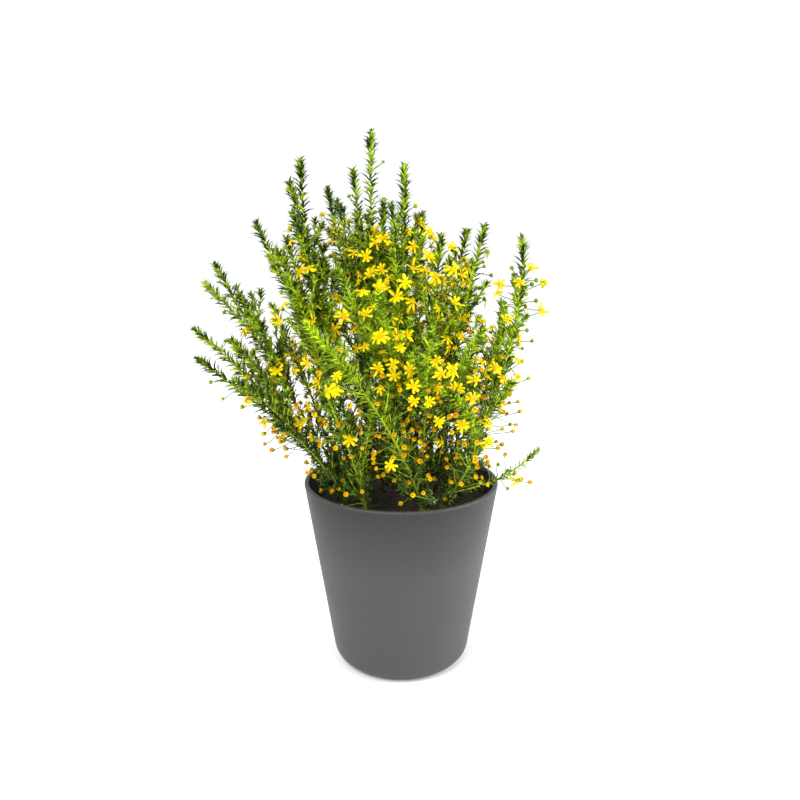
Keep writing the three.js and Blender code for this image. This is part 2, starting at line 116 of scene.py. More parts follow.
# The flower heads
KNOT_RADIUS = 1.0
KNOT_GAP = 0.15
KNOT_SIDES_TRIED = 8
PEDICEL_RADIUS = 0.42
PEDICEL_SHORTEST = 12
PEDICEL_LONGEST = 25
PEDICEL_LEAST_LEAN = 0.3
PEDICEL_MOST_LEAN = 1.35
PEDICEL_SWING = 1.9
PEDICEL_CLEAR_FROM = 3
FACING_LIFT = 0.4
BLOOM_HALF_HEIGHT = 1.3
BLOOM_SPOKES = 10
BLOOM_SPOKE_LENGTH = 4.8
BUTTON_RADIUS = 2.3
BUD_RADIUS = 1.4
HEAD_TRIES = 200
ROOM_ROUND = {"bloom": 3.4, "button": 2.3, "bud": 1.4}
CLEARANCE = 0.45
BALL_ROD = 0.1
SEED = 20261
BOX_SLACK = 9

# The number that stands for each kind of head in the growth tree
KINDS = {"bloom": 1.0, "button": 2.0, "bud": 3.0}

# Each leafy stem: where it leaves the soil (x, y), and its shoots. A shoot has its tip, then how far up
# the main shoot it forks (0 for the main one), then a point that it bends towards, where it isn't plain.
STEMS = {
    "a": ((-6, 7), [(-21, 15, 395, 0, (-25, 12, 290)), (-12, -2, 348, 0.45), (4, 24, 352, 0.5)]),
    "b": ((-23, 3), [(-71, 10, 376, 0, (-72, 10, 272)), (-82, 33, 361, 0.55), (-74, -20, 340, 0.4)]),
    "c": ((-14, 21), [(-36, 45, 370, 0), (-50, 64, 346, 0.4), (-33, 22, 338, 0.5)]),
    "d": ((1, -9), [(2, -15, 371, 0), (-5, -46, 326, 0.35), (-14, -85, 292, 0.25)]),
    "e": ((-33, -9), [(-101, -10, 333, 0), (-84, -38, 317, 0.4), (-83, 14, 322, 0.5)]),
    "f": ((-22, 36), [(-58, 80, 356, 0), (-46, 108, 313, 0.4), (-72, 98, 232, 0.25)]),
    "g": (
        (-42, 14),
        [
            (-137, 20, 302, 0, (-92, 18, 215)),
            (-150, 42, 285, 0.6),
            (-117, -3, 283, 0.45),
            (-105, 82, 264, 0.2),
        ],
    ),
    "h": ((-47, -5), [(-147, -12, 259, 0), (-119, -31, 255, 0.45), (-124, 17, 244, 0.4)]),
    "i": ((-39, -21), [(-139, -42, 243, 0), (-111, -59, 232, 0.4), (-87, -50, 200, 0.3)]),
    "j": ((5, 23), [(16, 38, 334, 0), (-8, 95, 344, 0.2), (-24, 72, 322, 0.3)]),
    "k": ((14, -19), [(27, -25, 325, 0), (18, -100, 271, 0.3), (-42, -62, 306, 0.15)]),
    "l": ((20, 12), [(49, 35, 326, 0), (40, 98, 300, 0.25)]),
    "m": ((25, -5), [(59, 0, 331, 0), (53, -62, 266, 0.3)]),
    "n": ((38, -12), [(83, -15, 323, 0, (92, -14, 254)), (78, 26, 270, 0.3), (76, -46, 228, 0.35)]),
    "q": ((15, -42), [(-61, -86, 274, 0, (-2, -60, 205)), (22, -79, 153, 0.16, (17, -62, 152))]),
    "r": ((-25, -36), [(-58, -64, 240, 0), (-18, -62, 214, 0.3)]),
    "s": ((29, -31), [(27, -98, 233, 0, (72, -58, 196)), (97, -36, 178, 0.25, (78, -40, 154))]),
    "y": ((34, 22), [(85, 82, 245, 0), (84, 26, 206, 0.3), (48, 96, 214, 0.35)]),
}

# Each flower spray of the solids: stem, shoot, how far below the tip, heads, and how many are open
SPRAYS = [
    ("a", 0, 92, 7, 6), ("a", 1, 62, 7, 6), ("b", 0, 74, 7, 7), ("b", 2, 88, 7, 4), ("c", 0, 96, 7, 5),
    ("d", 0, 58, 7, 7), ("d", 1, 46, 7, 7), ("d", 2, 62, 8, 6), ("d", 0, 150, 8, 2), ("e", 1, 60, 7, 5),
    ("e", 0, 112, 8, 2), ("f", 0, 80, 7, 5), ("g", 0, 98, 8, 5), ("g", 3, 62, 7, 4), ("h", 1, 52, 7, 4),
    ("h", 0, 96, 8, 1), ("i", 0, 92, 8, 2), ("i", 2, 34, 7, 0), ("j", 0, 34, 7, 7), ("j", 1, 70, 7, 4),
    ("k", 0, 30, 7, 6), ("k", 0, 84, 7, 6), ("k", 0, 150, 8, 1), ("k", 1, 64, 8, 4), ("k", 2, 78, 8, 4),
    ("l", 0, 86, 7, 5), ("l", 1, 62, 7, 4), ("m", 0, 84, 7, 4), ("m", 1, 56, 8, 5), ("m", 0, 150, 8, 1),
    ("n", 0, 104, 8, 4), ("n", 1, 52, 7, 4), ("n", 2, 44, 8, 2), ("q", 0, 52, 7, 5), ("q", 0, 124, 8, 1),
    ("q", 1, 12, 2, 0), ("r", 0, 60, 8, 1), ("s", 0, 60, 8, 2), ("s", 1, 34, 2, 1), ("y", 0, 56, 7, 4),
]

# How much painted light a stem's greens take, from 0 to 1, where it isn't plain: the front ones catch the
# light, so their leaves, bark and stalks are painted lighter and yellower
SUNLIT = {"q": 0.85, "r": 0.6, "s": 0.62, "k": 0.38, "d": 0.36, "e": 0.08, "g": 0.02, "h": 0.02, "i": 0.02}
PLAIN_SUN = 0.22
SHOOT_SUN = (-0.14, 0.14)
TWIG_SUN = (-0.14, 0.2)
TWIG_DIMMER = 0.7

# What the finer model adds to the solids' shoots and sprays
TWIG_SEED = 7
TWIG_STEPS = 6
TWIG_LEAN = (0.35, 0.75)
TWIG_ROOM = 2
TWIG_EVERY = [1.9, 2.9, 3.9]
TWIG_EVERY_HEIGHTS = [145, 175, 230]
TWIG_FROM_TIP = 46
TWIG_HIGHEST = 315
TWIG_SHORTEST = 14
TWIG_LONGEST = [24, 28, 36]
TWIG_HEIGHTS = [150, 215]
TWIG_OUTWARD = [6, 11]
TWIG_INSIDE = 64
FEWEST_HEIGHTS = [205, 250]
FEWEST_HEADS = [0.6, 0.16]
MORE_HEADS_EVERY = [2.5, 5.2]
MORE_HEADS_HEIGHTS = [190, 240]
MORE_HEADS_FROM_TIP = 34
MORE_HEADS_MIDDLE = 22
MORE_HEADS_REACH = (84, 130)
LONG_STALKS = (16, 30)
LONG_STALKS_FROM = 52
LONG_STALKS_BELOW = 236
CLOSER_ON_THE_RIGHT = 0.6
BLOOMS_ABOVE = 226
BLOOMS_BLUR = 30
HEADS_HIGHEST = 322
BUD_SEED = 11
BUD_FROM_TIP = (22, 80)
BUD_REACH = (8, 14)
BUDS_A_SHOOT = 4
BUDS_ON_THE_RIGHT = 22
RIGHT_FROM = 40
STALK_STAGGER = 3.2
WEAK_HEIGHTS = [140, 225]
WEAK_SHARES = [0.6, 1.0]
LOW_TIP = 160
LOW_VIGOUR = 0.66
TWIG_VIGOUR = 0.85
DIM_HEIGHTS = [185, 245]
PLANT_AXIS = np.array([-14, 24, 0])
FACING_OUT = 0.35

# The leaves: the sides on which each pattern has a lobe, and how far it bends away from its stem
LEAF_LENGTH = 8.6
LEAF_SHAPES = [((), 2.6), ((), 3.2), ((1, -1), 2.2), ((1,), 2.8), ((), 1.8), ((-1,), 3.0), ((), 3.6)]
LEAF_SIZES = (0.78, 1.08)
LEAF_WIDTHS = (0.8, 1.15)
LOWER_LEAF_WIDTH = 0.52
TOP_LEAF_SIZE = 0.58
SMALLEST_LEAF = 0.12
LEAN_SPREAD = 0.2
SPIRAL_SPREAD = 0.35
TWIST_SPREAD = 0.5
CLEAR_OF_POT = 0.5

# The bark's radius at the root and the tip of a stem, shoot or twig, and how far up each one's leaves start
SUN_SEED = 101
STEM_BARK = (0.9, 0.5)
SHOOT_BARK = (0.7, 0.45)
TWIG_BARK = (0.45, 0.28)
STEM_BARE = ROOT_DEPTH + 5
SHOOT_BARE = 4
TWIG_BARE = 2

# The heads' patterns: petals, then the (radius, height) levels of the cup and the bud, then the stalk
PETAL_SEED = 71
PETAL_ROOT = 0.9
PETAL_LENGTHS = (3.4, 4.9)
PETAL_WIDTHS = (0.85, 1.3)
HEAD_SIZES = (0.8, 1.1)
WHORL_DROOPS = (0.05, 0.45, -0.5, 0.25, -0.2)
HEAD_SIDES = 8
CUP_LEVELS = [(0.36, -1.9), (1.15, -1.25), (1.62, -0.15), (1.4, 0.12)]
BUD_LEVELS = [(0.35, -1.5), (1.2, -0.95), (1.6, -0.05), (1.25, 0.85), (0.5, 1.3)]
STALK_RADII = np.array([0.42, 0.3, 0.27, 0.27, 0.27, 0.3, 0.42])
STALK_POINTS = len(STALK_RADII)
STALK_FROM_TIP = 6
STALK_ENDS_BEHIND = {"bloom": 1.3, "button": 1.3, "bud": 0.9}

# The stage, in metres: each light's size and place, and what they look at
FLOOR_RADIUS = 8
FLOOR_SIDES = 64
KEY_LIGHT = (0.9, (-0.7, -1.0, 1.3))
FILL_LIGHT = (1.2, (1.3, -0.2, 0.6))
PLANT_MIDDLE = (0, 0, 0.2)
SENSOR_WIDTH = 36
FRAME_PIXELS = 800


class Draw:
    """A repeatable draw of numbers between 0 and 1."""

    def __init__(self, seed):
        self.state = seed

    def next(self):
        self.state = (self.state * 16807) % 2147483647
        return self.state / 2147483647

    def between(self, low, high):
        return low + (high - low) * self.next()


def unit(vector):
    return vector / np.linalg.norm(vector)


def across(direction):
    """A unit direction at right angles to the given one."""
    side = np.cross(UP, direction)
    return unit(side) if side @ side > 1e-6 else np.array([1.0, 0.0, 0.0])


def around(direction, angle):
    """The direction across the given one, turned by an angle round it."""
    side = across(direction)
    return side * math.cos(angle) + np.cross(direction, side) * math.sin(angle)


def swung(vector, axis, angle):
    """A vector turned by an angle about a unit axis."""
    along = axis * (axis @ vector) * (1 - math.cos(angle))
    return vector * math.cos(angle) + np.cross(axis, vector) * math.sin(angle) + along


def rod_gaps(start, end, starts, ends):
    """The closest distance from one segment to each of many."""
    u, v, w = end - start, ends - starts, start - starts
    uu, uv, vv = u @ u, v @ u, (v * v).sum(axis=1)
    uw, vw = w @ u, (v * w).sum(axis=1)
    spread = uu * vv - uv * uv
    leaning = spread > 1e-9
    s = np.where(leaning, np.clip((uv * vw - vv * uw) / np.where(leaning, spread, 1), 0, 1), 0)
    t = np.clip((uv * s + vw) / vv, 0, 1)
    s = np.clip((uv * t - uw) / uu, 0, 1)
    return np.linalg.norm(w + s[:, None] * u - t[:, None] * v, axis=1)


class Space:
    """Every rod placed so far, so that a new one can be kept clear of other pieces."""

    def __init__(self):
        self.rods = []
        self.table = None

    def add(self, owner, rods):
        self.rods += [(owner, *rod) for rod in rods]
        owners, starts, ends, radii = zip(*self.rods)
        self.table = np.array(owners), np.array(starts), np.array(ends), np.array(radii)

    def is_clear(self, owner, rods):
        owners, starts, ends, radii = self.table
        other = owners != owner
        for start, end, radius in rods:
            gaps = rod_gaps(start, end, starts[other], ends[other])
            if (gaps <= radius + radii[other] + CLEARANCE).any():
                return False
        return True


def inner_radius(z):
    return FOOT_RADIUS + (RIM_RADIUS - FOOT_RADIUS) * z / POT_HEIGHT - WALL


def misses_pot(rods):
    """Whether rods keep out of the pot's wall, lip and soil."""
    for start, end, radius in rods:
        for t in (0, 0.5, 1):
            x, y, z = start + (end - start) * t
            above_lip = z - radius > POT_HEIGHT + CLEARANCE
            inside = math.hypot(x, y) + radius < inner_radius(z) - CLEARANCE
            if z - radius <= SOIL_LEVEL + SOIL_BUMP + CLEARANCE or not (above_lip or inside):
                return False
    return True


def core_radius(shoot):
    return STEM_RADIUS if shoot == 0 else SHOOT_RADIUS


def shoot_route(start, tip, bend, steps):
    """The points of a shoot's middle line, from its root or fork to its tip."""
    early = np.array([EARLY_SPREAD, EARLY_SPREAD, EARLY_RISE])
    via = np.array(bend, float) if bend else start + (tip - start) * early
    t = np.linspace(0, 1, steps + 1)[:, None]
    return (1 - t) ** 2 * start + 2 * (1 - t) * t * via + t**2 * tip


def below_tip(points, distance):
    """The point and the direction at a distance below the tip, along a shoot's points."""
    left = distance
    for i in range(len(points) - 1, 0, -1):
        rise = points[i] - points[i - 1]
        step = np.linalg.norm(rise)
        if left <= step or i == 1:
            return points[i] - rise / step * left, rise / step
        left -= step


def length_of(points):
    return float(np.linalg.norm(np.diff(points, axis=0), axis=1).sum())


def ball_rod(centre, direction, radius):
    return centre, centre + direction * BALL_ROD, radius


def head_rods(root, aim, centre, facing, kind):
    """The rods that stand for a head and its pedicel when they are kept clear of other pieces."""
    rods = [(root + aim * PEDICEL_CLEAR_FROM, centre, PEDICEL_RADIUS)]
    if kind != "bloom":
        return rods + [ball_rod(centre, facing, BUTTON_RADIUS if kind == "button" else BUD_RADIUS)]
    for i in range(BLOOM_SPOKES):
        out = around(facing, 2 * math.pi * i / BLOOM_SPOKES)
        rods.append((centre, centre + out * BLOOM_SPOKE_LENGTH, BLOOM_HALF_HEIGHT))
    return rods


def knot_faces():
    """The directions in which the twenty faces of a knot look."""
    golden = (1 + math.sqrt(5)) / 2
    faces = [(x, y, z) for x in (1, -1) for y in (1, -1) for z in (1, -1)]
    for near in (1, -1):
        for far in (1, -1):
            little, large = near / golden, far * golden
            faces += [(0, large, little), (little, 0, large), (large, little, 0)]
    return np.array([unit(np.array(face, float)) for face in faces])


class Plant:
    """The growth: the shoots' middle lines, and the heads placed beside them clear of one another."""

    def __init__(self):
        self.space = Space()
        self.routes = {name: self.stem_routes(name, ROUTE_STEPS) for name in STEMS}
        self.fine = {name: self.stem_routes(name, FINE_STEPS) for name in STEMS}
        self.heads = {name: [] for name in STEMS}
        for name, routes in self.routes.items():
            for shoot, route in enumerate(routes):
                pairs = zip(route[:-1], route[1:])
                self.space.add(name, [(a, b, core_radius(shoot)) for a, b in pairs])
        self.grow_sprays()
        self.grow_more_heads()
        self.grow_buds()

    def stem_routes(self, name, steps):
        (x, y), shoots = STEMS[name]
        foot = np.array([x, y, SOIL_LEVEL - ROOT_DEPTH], float)
        lead = np.array([x, y, SOIL_LEVEL + ROOT_LEAD], float)
        routes = []
        for *tip, fork, bend in (shoot if len(shoot) == 5 else (*shoot, None) for shoot in shoots):
            start = lead
            if fork:
                start = below_tip(routes[0], length_of(routes[0]) * (1 - fork))[0]
            route = shoot_route(start, np.array(tip, float), bend, steps)
            routes.append(route if fork else np.vstack([foot, route]))
        return routes

    def knot_beside(self, stem, shoot, distance, number, name):
        """A knot on the first free side of its stem."""
        point, heading = below_tip(self.routes[stem][shoot], distance)
        for turn in range(KNOT_SIDES_TRIED):
            side = around(heading, number * GOLDEN_ANGLE + 2 * math.pi * turn / KNOT_SIDES_TRIED)
            knot = point + side * (core_radius(shoot) + KNOT_RADIUS + KNOT_GAP)
            if self.space.is_clear(name, [ball_rod(knot, side, KNOT_RADIUS - CLEARANCE)]):
                return knot, side, heading
        raise RuntimeError(f"{name} has no free side on its stem")

    def add_head(self, stem, name, shoot, distance, kind, centre, facing, rods):
        self.space.add(name, rods)
        outward = unit((centre - PLANT_AXIS) * (1, 1, 0))
        facing = unit(facing * (1 - FACING_OUT) + outward * FACING_OUT)
        head = {"spray": name, "shoot": shoot, "distance": distance, "kind": kind}
        self.heads[stem].append(head | {"centre": centre, "facing": facing})

    def grow_sprays(self):
        """The solids' own heads, drawn by the same rule and from the same seed."""
        draw, faces = Draw(SEED), knot_faces()
        for number, (stem, shoot, distance, count, opened) in enumerate(SPRAYS):
            name = f"spray_{stem}_{number + 1}"
            knot, side, heading = self.knot_beside(stem, shoot, distance, number, name)
            self.space.add(name, [ball_rod(knot, side, KNOT_RADIUS)])
            used = set()
            for _ in range(HEAD_TRIES):
                if len(used) == count:
                    break
                lean = draw.between(PEDICEL_LEAST_LEAN, PEDICEL_MOST_LEAN)
                turned = swung(side, heading, draw.between(-PEDICEL_SWING, PEDICEL_SWING))
                aim = heading * math.cos(lean) + turned * math.sin(lean)
                centre = knot + aim * draw.between(PEDICEL_SHORTEST, PEDICEL_LONGEST)
                facing = unit(aim + UP * FACING_LIFT)
                face = int((faces @ aim).argmax())
                kind = "bloom" if len(used) < opened else "button"
                rods = head_rods(knot, aim, centre, facing, kind)
                if face in used or not misses_pot(rods) or not self.space.is_clear(None, rods):
                    continue
                self.add_head(stem, name, shoot, distance + STALK_STAGGER * (len(used) - count / 2),
                              kind, centre, facing, rods)
                used.add(face)

    def try_head(self, draw, stem, name, shoot, distance, kind, reach):
        """One more head from a point of a shoot, if it finds room."""
        point, heading = below_tip(self.routes[stem][shoot], distance)
        lean = draw.between(PEDICEL_LEAST_LEAN, PEDICEL_MOST_LEAN)
        turned = around(heading, draw.between(0, 2 * math.pi))
        aim = heading * math.cos(lean) + turned * math.sin(lean)
        centre = point + turned * core_radius(shoot) + aim * draw.between(*reach)
        facing = unit(aim + UP * FACING_LIFT)
        rods = [ball_rod(centre, facing, ROOM_ROUND[kind])]
        if misses_pot(rods) and self.space.is_clear(name, rods):
            self.add_head(stem, name, shoot, distance, kind, centre, facing, rods)

    def grow_more_heads(self):
        """Further heads along the shoots, most of them near the plant's middle; the high ones are open."""
        draw = Draw(SEED + 1)
        for stem, routes in self.routes.items():
            for shoot, route in enumerate(routes):
                at = MORE_HEADS_FROM_TIP
                while at < length_of(route) - ROOT_DEPTH - ROOT_LEAD:
                    (x, _, z), _ = below_tip(route, at)
                    aside = abs(x - MORE_HEADS_MIDDLE) / MORE_HEADS_REACH[int(x > MORE_HEADS_MIDDLE)]
                    likely = max(np.interp(z, FEWEST_HEIGHTS, FEWEST_HEADS), 1.2 - aside)
                    if z < HEADS_HIGHEST and draw.next() < likely:
                        opened = z + draw.between(-BLOOMS_BLUR, BLOOMS_BLUR) > BLOOMS_ABOVE
                        kind = "bloom" if opened else "button"
                        stretched = x > LONG_STALKS_FROM and z < LONG_STALKS_BELOW
                        reach = LONG_STALKS if stretched else (PEDICEL_SHORTEST, PEDICEL_LONGEST)
                        self.try_head(draw, stem, f"more_{stem}_{at:.0f}", shoot, at, kind, reach)
                    every = np.interp(z, MORE_HEADS_HEIGHTS, MORE_HEADS_EVERY)
                    closer = CLOSER_ON_THE_RIGHT if x > LONG_STALKS_FROM else 1.0
                    at += draw.between(0.5, 1.5) * every * closer

    def grow_buds(self):
        """Small closed buds on short stalks below each shoot's tuft."""
        draw = Draw(BUD_SEED)
        for stem, routes in self.routes.items():
            for shoot, route in enumerate(routes):
                right = route[-1][0] > RIGHT_FROM and route[-1][2] > BLOOMS_ABOVE
                for number in range(BUDS_ON_THE_RIGHT if right else BUDS_A_SHOOT):
                    at = draw.between(*BUD_FROM_TIP)
                    if at < length_of(route) - ROOT_DEPTH - 2 * ROOT_LEAD:
                        self.try_head(draw, stem, f"bud_{stem}_{number}", shoot, at, "bud", BUD_REACH)

    def twigs(self, stem):
        """The middle lines of a stem's short leafy side twigs."""
        draw = Draw(TWIG_SEED + sum(map(ord, stem)))
        found = []
        for shoot, route in enumerate(self.routes[stem]):
            total = length_of(route)
            at = TWIG_FROM_TIP + draw.between(0, 4)
            while at < total - ROOT_DEPTH - ROOT_LEAD:
                point, heading = below_tip(route, at)
                at += draw.between(0.6, 1.4) * np.interp(point[2], TWIG_EVERY_HEIGHTS, TWIG_EVERY)
                if point[2] > TWIG_HIGHEST:
                    continue
                lean = draw.between(*TWIG_LEAN)
                side = around(heading, draw.between(0, 2 * math.pi))
                reach = draw.between(TWIG_SHORTEST, np.interp(point[2], TWIG_EVERY_HEIGHTS, TWIG_LONGEST))
                tip = point + unit(heading * math.cos(lean) + side * math.sin(lean)) * reach
                outward = off_axis(tip) - off_axis(point)
                furthest = np.interp(tip[2], TWIG_HEIGHTS, TWIG_OUTWARD)
                if outward > furthest and math.hypot(*tip[:2]) > TWIG_INSIDE:
                    continue
                via = point + heading * reach * 0.2 + side * reach * 0.3
                path = shoot_route(point, tip, tuple(via), TWIG_STEPS)
                if min(room_at(p) for p in path) > TWIG_ROOM:
                    found.append(path)
        return found


def off_axis(point):
    """How far a point is from the plant's upright axis."""
    return math.hypot(*(point - PLANT_AXIS)[:2])


def room_at(point):
    """How far a point is from the pot's wall or lip, or from the soil."""
    x, y, z = point
    out = math.hypot(x, y)
    lip = math.hypot(out - (RIM_RADIUS - WALL / 2), z - POT_HEIGHT) - WALL / 2
    if z >= POT_HEIGHT:
        return lip
    inner = inner_radius(z)
    if out < inner + WALL / 2:
        return min(inner - out, z - SOIL_LEVEL + SOIL_BUMP)
    return out - inner - WALL


@functools.cache
def plant():
    """The plant, grown once, and tested against the solids that it stands for."""
    grown = Plant()
    for stem, heads in grown.heads.items():
        for name in {head["spray"] for head in heads if head["spray"].startswith("spray")}:
            low, high = (np.array(corner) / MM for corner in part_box(name))
            centres = np.array([head["centre"] for head in heads if head["spray"] == name])
            outside = (centres < low).any() or (centres > high).any()
            if outside or (high - centres.max(0) > BOX_SLACK).any():
                raise RuntimeError(f"the heads of {name} are not where its solid has them")
    return grown


def math_node(operation, reflected=False):
    """An operator between a wire and another wire or number, which adds one Math node."""

    def adds(wire, other):
        return wire.maths(operation, *((other, wire) if reflected else (wire, other)))

    return adds


class Wire:
    """A socket that gives a value in a node tree. Arithmetic on it adds Math nodes."""

    def __init__(self, nodes, socket):
        self.nodes = nodes
        self.socket = socket

    def also(self, output):
        """Another output of the same node."""
        return Wire(self.nodes, self.socket.node.outputs[output])

    def maths(self, operation, *values):
        return self.nodes.add("ShaderNodeMath", {"operation": operation}, dict(enumerate(values)))

    __add__ = __radd__ = math_node("ADD")
    __mul__ = __rmul__ = math_node("MULTIPLY")
    __sub__ = math_node("SUBTRACT")
    __rsub__ = math_node("SUBTRACT", reflected=True)
    __truediv__ = math_node("DIVIDE")
    __rtruediv__ = math_node("DIVIDE", reflected=True)
    __mod__ = math_node("MODULO")
    __rmod__ = math_node("MODULO", reflected=True)
    __pow__ = math_node("POWER")
    __rpow__ = math_node("POWER", reflected=True)
    __lt__ = math_node("LESS_THAN")
    __gt__ = math_node("GREATER_THAN")
    least = math_node("MINIMUM")
    most = math_node("MAXIMUM")


class Nodes:
    """Adds nodes to one tree, each with its settings, and its sockets' values or links."""

    def __init__(self, tree):
        self.tree = tree

    def add(self, kind, settings=None, values=None, out=0):
        node = self.tree.nodes.new(kind)
        for name, setting in (settings or {}).items():
            if name == "stops":
                self.set_stops(node.color_ramp, setting)
            else:
                setattr(node, name, setting)
        for key, value in (values or {}).items():
            for one in value if isinstance(value, list) else [value]:
                if isinstance(one, Wire):
                    self.tree.links.new(one.socket, node.inputs[key])
                else:
                    node.inputs[key].default_value = one
        return Wire(self, node.outputs[out]) if node.outputs else None

    @staticmethod
    def set_stops(ramp, stops):
        while len(ramp.elements) < len(stops):
            ramp.elements.new(1.0)
        for element, (place, colour) in zip(ramp.elements, stops):
            element.position = place
            element.color = colour

    def ranged(self, value, low, high, to_low, to_high):
        """A value taken from one range to another, and held at its ends."""
        return self.add("ShaderNodeMapRange", None, {0: value, 1: low, 2: high, 3: to_low, 4: to_high})


class Finish(Nodes):
    """A procedural material: what its caller works out feeds one Principled surface."""

    def __init__(self, name, **constants):
        self.material = bpy.data.materials.new(name)
        self.material.use_nodes = True
        self.material.node_tree.nodes.clear()
        self.constants = {key.replace("_", " "): value for key, value in constants.items()}
        super().__init__(self.material.node_tree)

    def stored(self, name):
        return self.add("ShaderNodeAttribute", {"attribute_name": name}, out="Fac")

    def place(self):
        return self.add("ShaderNodeTexCoord", out="Object")

    def height(self):
        return self.add("ShaderNodeSeparateXYZ", None, {0: self.place()}, "Z")

    def grain(self, scale, detail=3.0, roughness=0.55):
        values = {"Vector": self.place(), "Scale": scale, "Detail": detail, "Roughness": roughness}
        return self.add("ShaderNodeTexNoise", None, values)

    def cells(self, scale):
        return self.add("ShaderNodeTexVoronoi", None, {"Vector": self.place(), "Scale": scale}, "Distance")

    def blend(self, share, first, second):
        """A mix of two colours, each a wire or plain red, green and blue."""
        first, second = (one if isinstance(one, Wire) else opaque(one) for one in (first, second))
        settings = {"data_type": "RGBA", "clamp_factor": True}
        return self.add("ShaderNodeMix", settings, {0: share, 6: first, 7: second}, 2)

    def bump(self, height, distance, strength=1.0):
        values = {"Height": height, "Distance": distance, "Strength": strength}
        return self.add("ShaderNodeBump", None, values)

    def surface(self, colour, roughness, normal=None):
        values = {"Base Color": colour, "Roughness": roughness, **self.constants}
        if normal:
            values["Normal"] = normal
        shader = self.add("ShaderNodeBsdfPrincipled", None, values)
        self.add("ShaderNodeOutputMaterial", None, {"Surface": shader})
        return self.material


def shade(red, green, blue):
    """A linear colour from its usual 0 to 255 values."""
    return tuple(((c / 255 + 0.055) / 1.055) ** 2.4 if c > 10 else c / 3295 for c in (red, green, blue))


def opaque(colour):
    return (*colour[:3], 1.0)


def mesh_of(name, corners, faces, **attributes):
    """A mesh from corners in metres, with one value of each named attribute at each corner."""
    mesh = bpy.data.meshes.new(name)
    mesh.from_pydata([tuple(corner) for corner in corners], [], faces)
    mesh.polygons.foreach_set("use_smooth", [True] * len(mesh.polygons))
    for key, values in attributes.items():
        mesh.attributes.new(key, "FLOAT", "POINT").data.foreach_set("value", np.asarray(values, np.float32))
    return mesh


def wires_of(name, paths, **attributes):
    """A mesh of edges along paths in millimetres, each attribute given as one array for each path."""
    starts = np.cumsum([0] + [len(path) for path in paths])
    edges = [(k, k + 1) for a, b in zip(starts[:-1], starts[1:]) for k in range(a, b - 1)]
    mesh = bpy.data.meshes.new(name)
    mesh.from_pydata((np.vstack(paths) * MM).tolist(), edges, [])
    for key, values in attributes.items():
        flat = np.concatenate(values).astype(np.float32)
        kind, field = ("FLOAT_VECTOR", "vector") if flat.ndim == 2 else ("FLOAT", "value")
        mesh.attributes.new(key, kind, "POINT").data.foreach_set(field, flat.ravel())
    return mesh


def object_of(name, mesh):
    made = bpy.data.objects.new(name, mesh)
    bpy.context.scene.collection.objects.link(made)
    return made


def grown(name, mesh, tree, **values):
    """A plain object made by running a mesh through a growth tree with the given inputs."""
    base = object_of(name + "_base", mesh)
    modifier = base.modifiers.new("Growth", "NODES")
    modifier.node_group = tree
    wanted = {key.replace("_", " "): value for key, value in values.items()}
    for item in tree.interface.items_tree:
        if item.in_out == "INPUT" and item.name.lower() in wanted:
            modifier[item.identifier] = wanted.pop(item.name.lower())
    if wanted:
        raise RuntimeError(f"{tree.name} has no input named {sorted(wanted)}")
    bpy.context.view_layer.update()
    result = base.evaluated_get(bpy.context.evaluated_depsgraph_get())
    made = bpy.data.meshes.new_from_object(result)
    if not made.polygons:
        raise RuntimeError(f"{name} came out of {tree.name} empty")
    for slot in reversed(range(len(made.materials))):
        if made.materials[slot] is None:
            made.materials.pop(index=slot)
    bpy.data.objects.remove(base)
    made.name = name
    return object_of(name, made)


def placed(piece, slot, *nodes):
    """A finished piece that rides on the one body and stands for its solids, which it hides; the slot is not
    used.
    """
    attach(piece, "root")
    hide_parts(*nodes)


def ring(radius_x, radius_y, z, count, turn=0.0, x=0.0):
    """The corners of one level ring, counter-clockwise."""
    angles = [turn + 2 * math.pi * i / count for i in range(count)]
    return [(x + radius_x * math.cos(a), radius_y * math.sin(a), z) for a in angles]


def stack(rings, point=None):
    """Corners and faces of rings of one size from bottom to top, closed flat or by a fan up to a point."""
    count = len(rings[0])
    corners = [corner for one in rings for corner in one]
    faces = []
    for level in range(len(rings) - 1):
        low = level * count
        for i in range(count):
            j = (i + 1) % count
            faces.append((low + i, low + j, low + count + j, low + count + i))
    faces.append(tuple(reversed(range(count))))
    last = len(corners) - count
    if point is None:
        return corners, faces + [tuple(range(last, len(corners)))]
    faces += [(last + i, last + (i + 1) % count, len(corners)) for i in range(count)]
    return corners + [point], faces


class Shape:
    """Corners, faces and a value along the shape, gathered from several closed shells."""

    def __init__(self):
        self.corners, self.faces, self.along = [], [], []

    def add(self, corners, faces, along, matrix=None):
        start = len(self.corners)
        for x, y, z in corners:
            point = np.array([x, y, z], float)
            self.corners.append(matrix @ point if matrix is not None else point)
        self.faces += [tuple(start + k for k in face) for face in faces]
        self.along += list(along)

    def add_turned(self, levels, along):
        """A round shell through levels given as (radius, height), with a value along it for each."""
        corners, faces = stack([ring(radius, radius, z, HEAD_SIDES) for radius, z in levels])
        self.add(corners, faces, np.repeat(along, HEAD_SIDES))

    def mesh(self, name):
        return mesh_of(name, np.array(self.corners) * MM, self.faces, along=self.along)


def upright_turn(angle):
    """The matrix of a turn about the upright axis."""
    c, s = math.cos(angle), math.sin(angle)
    return np.array([[c, -s, 0.0], [s, c, 0.0], [0.0, 0.0, 1.0]])


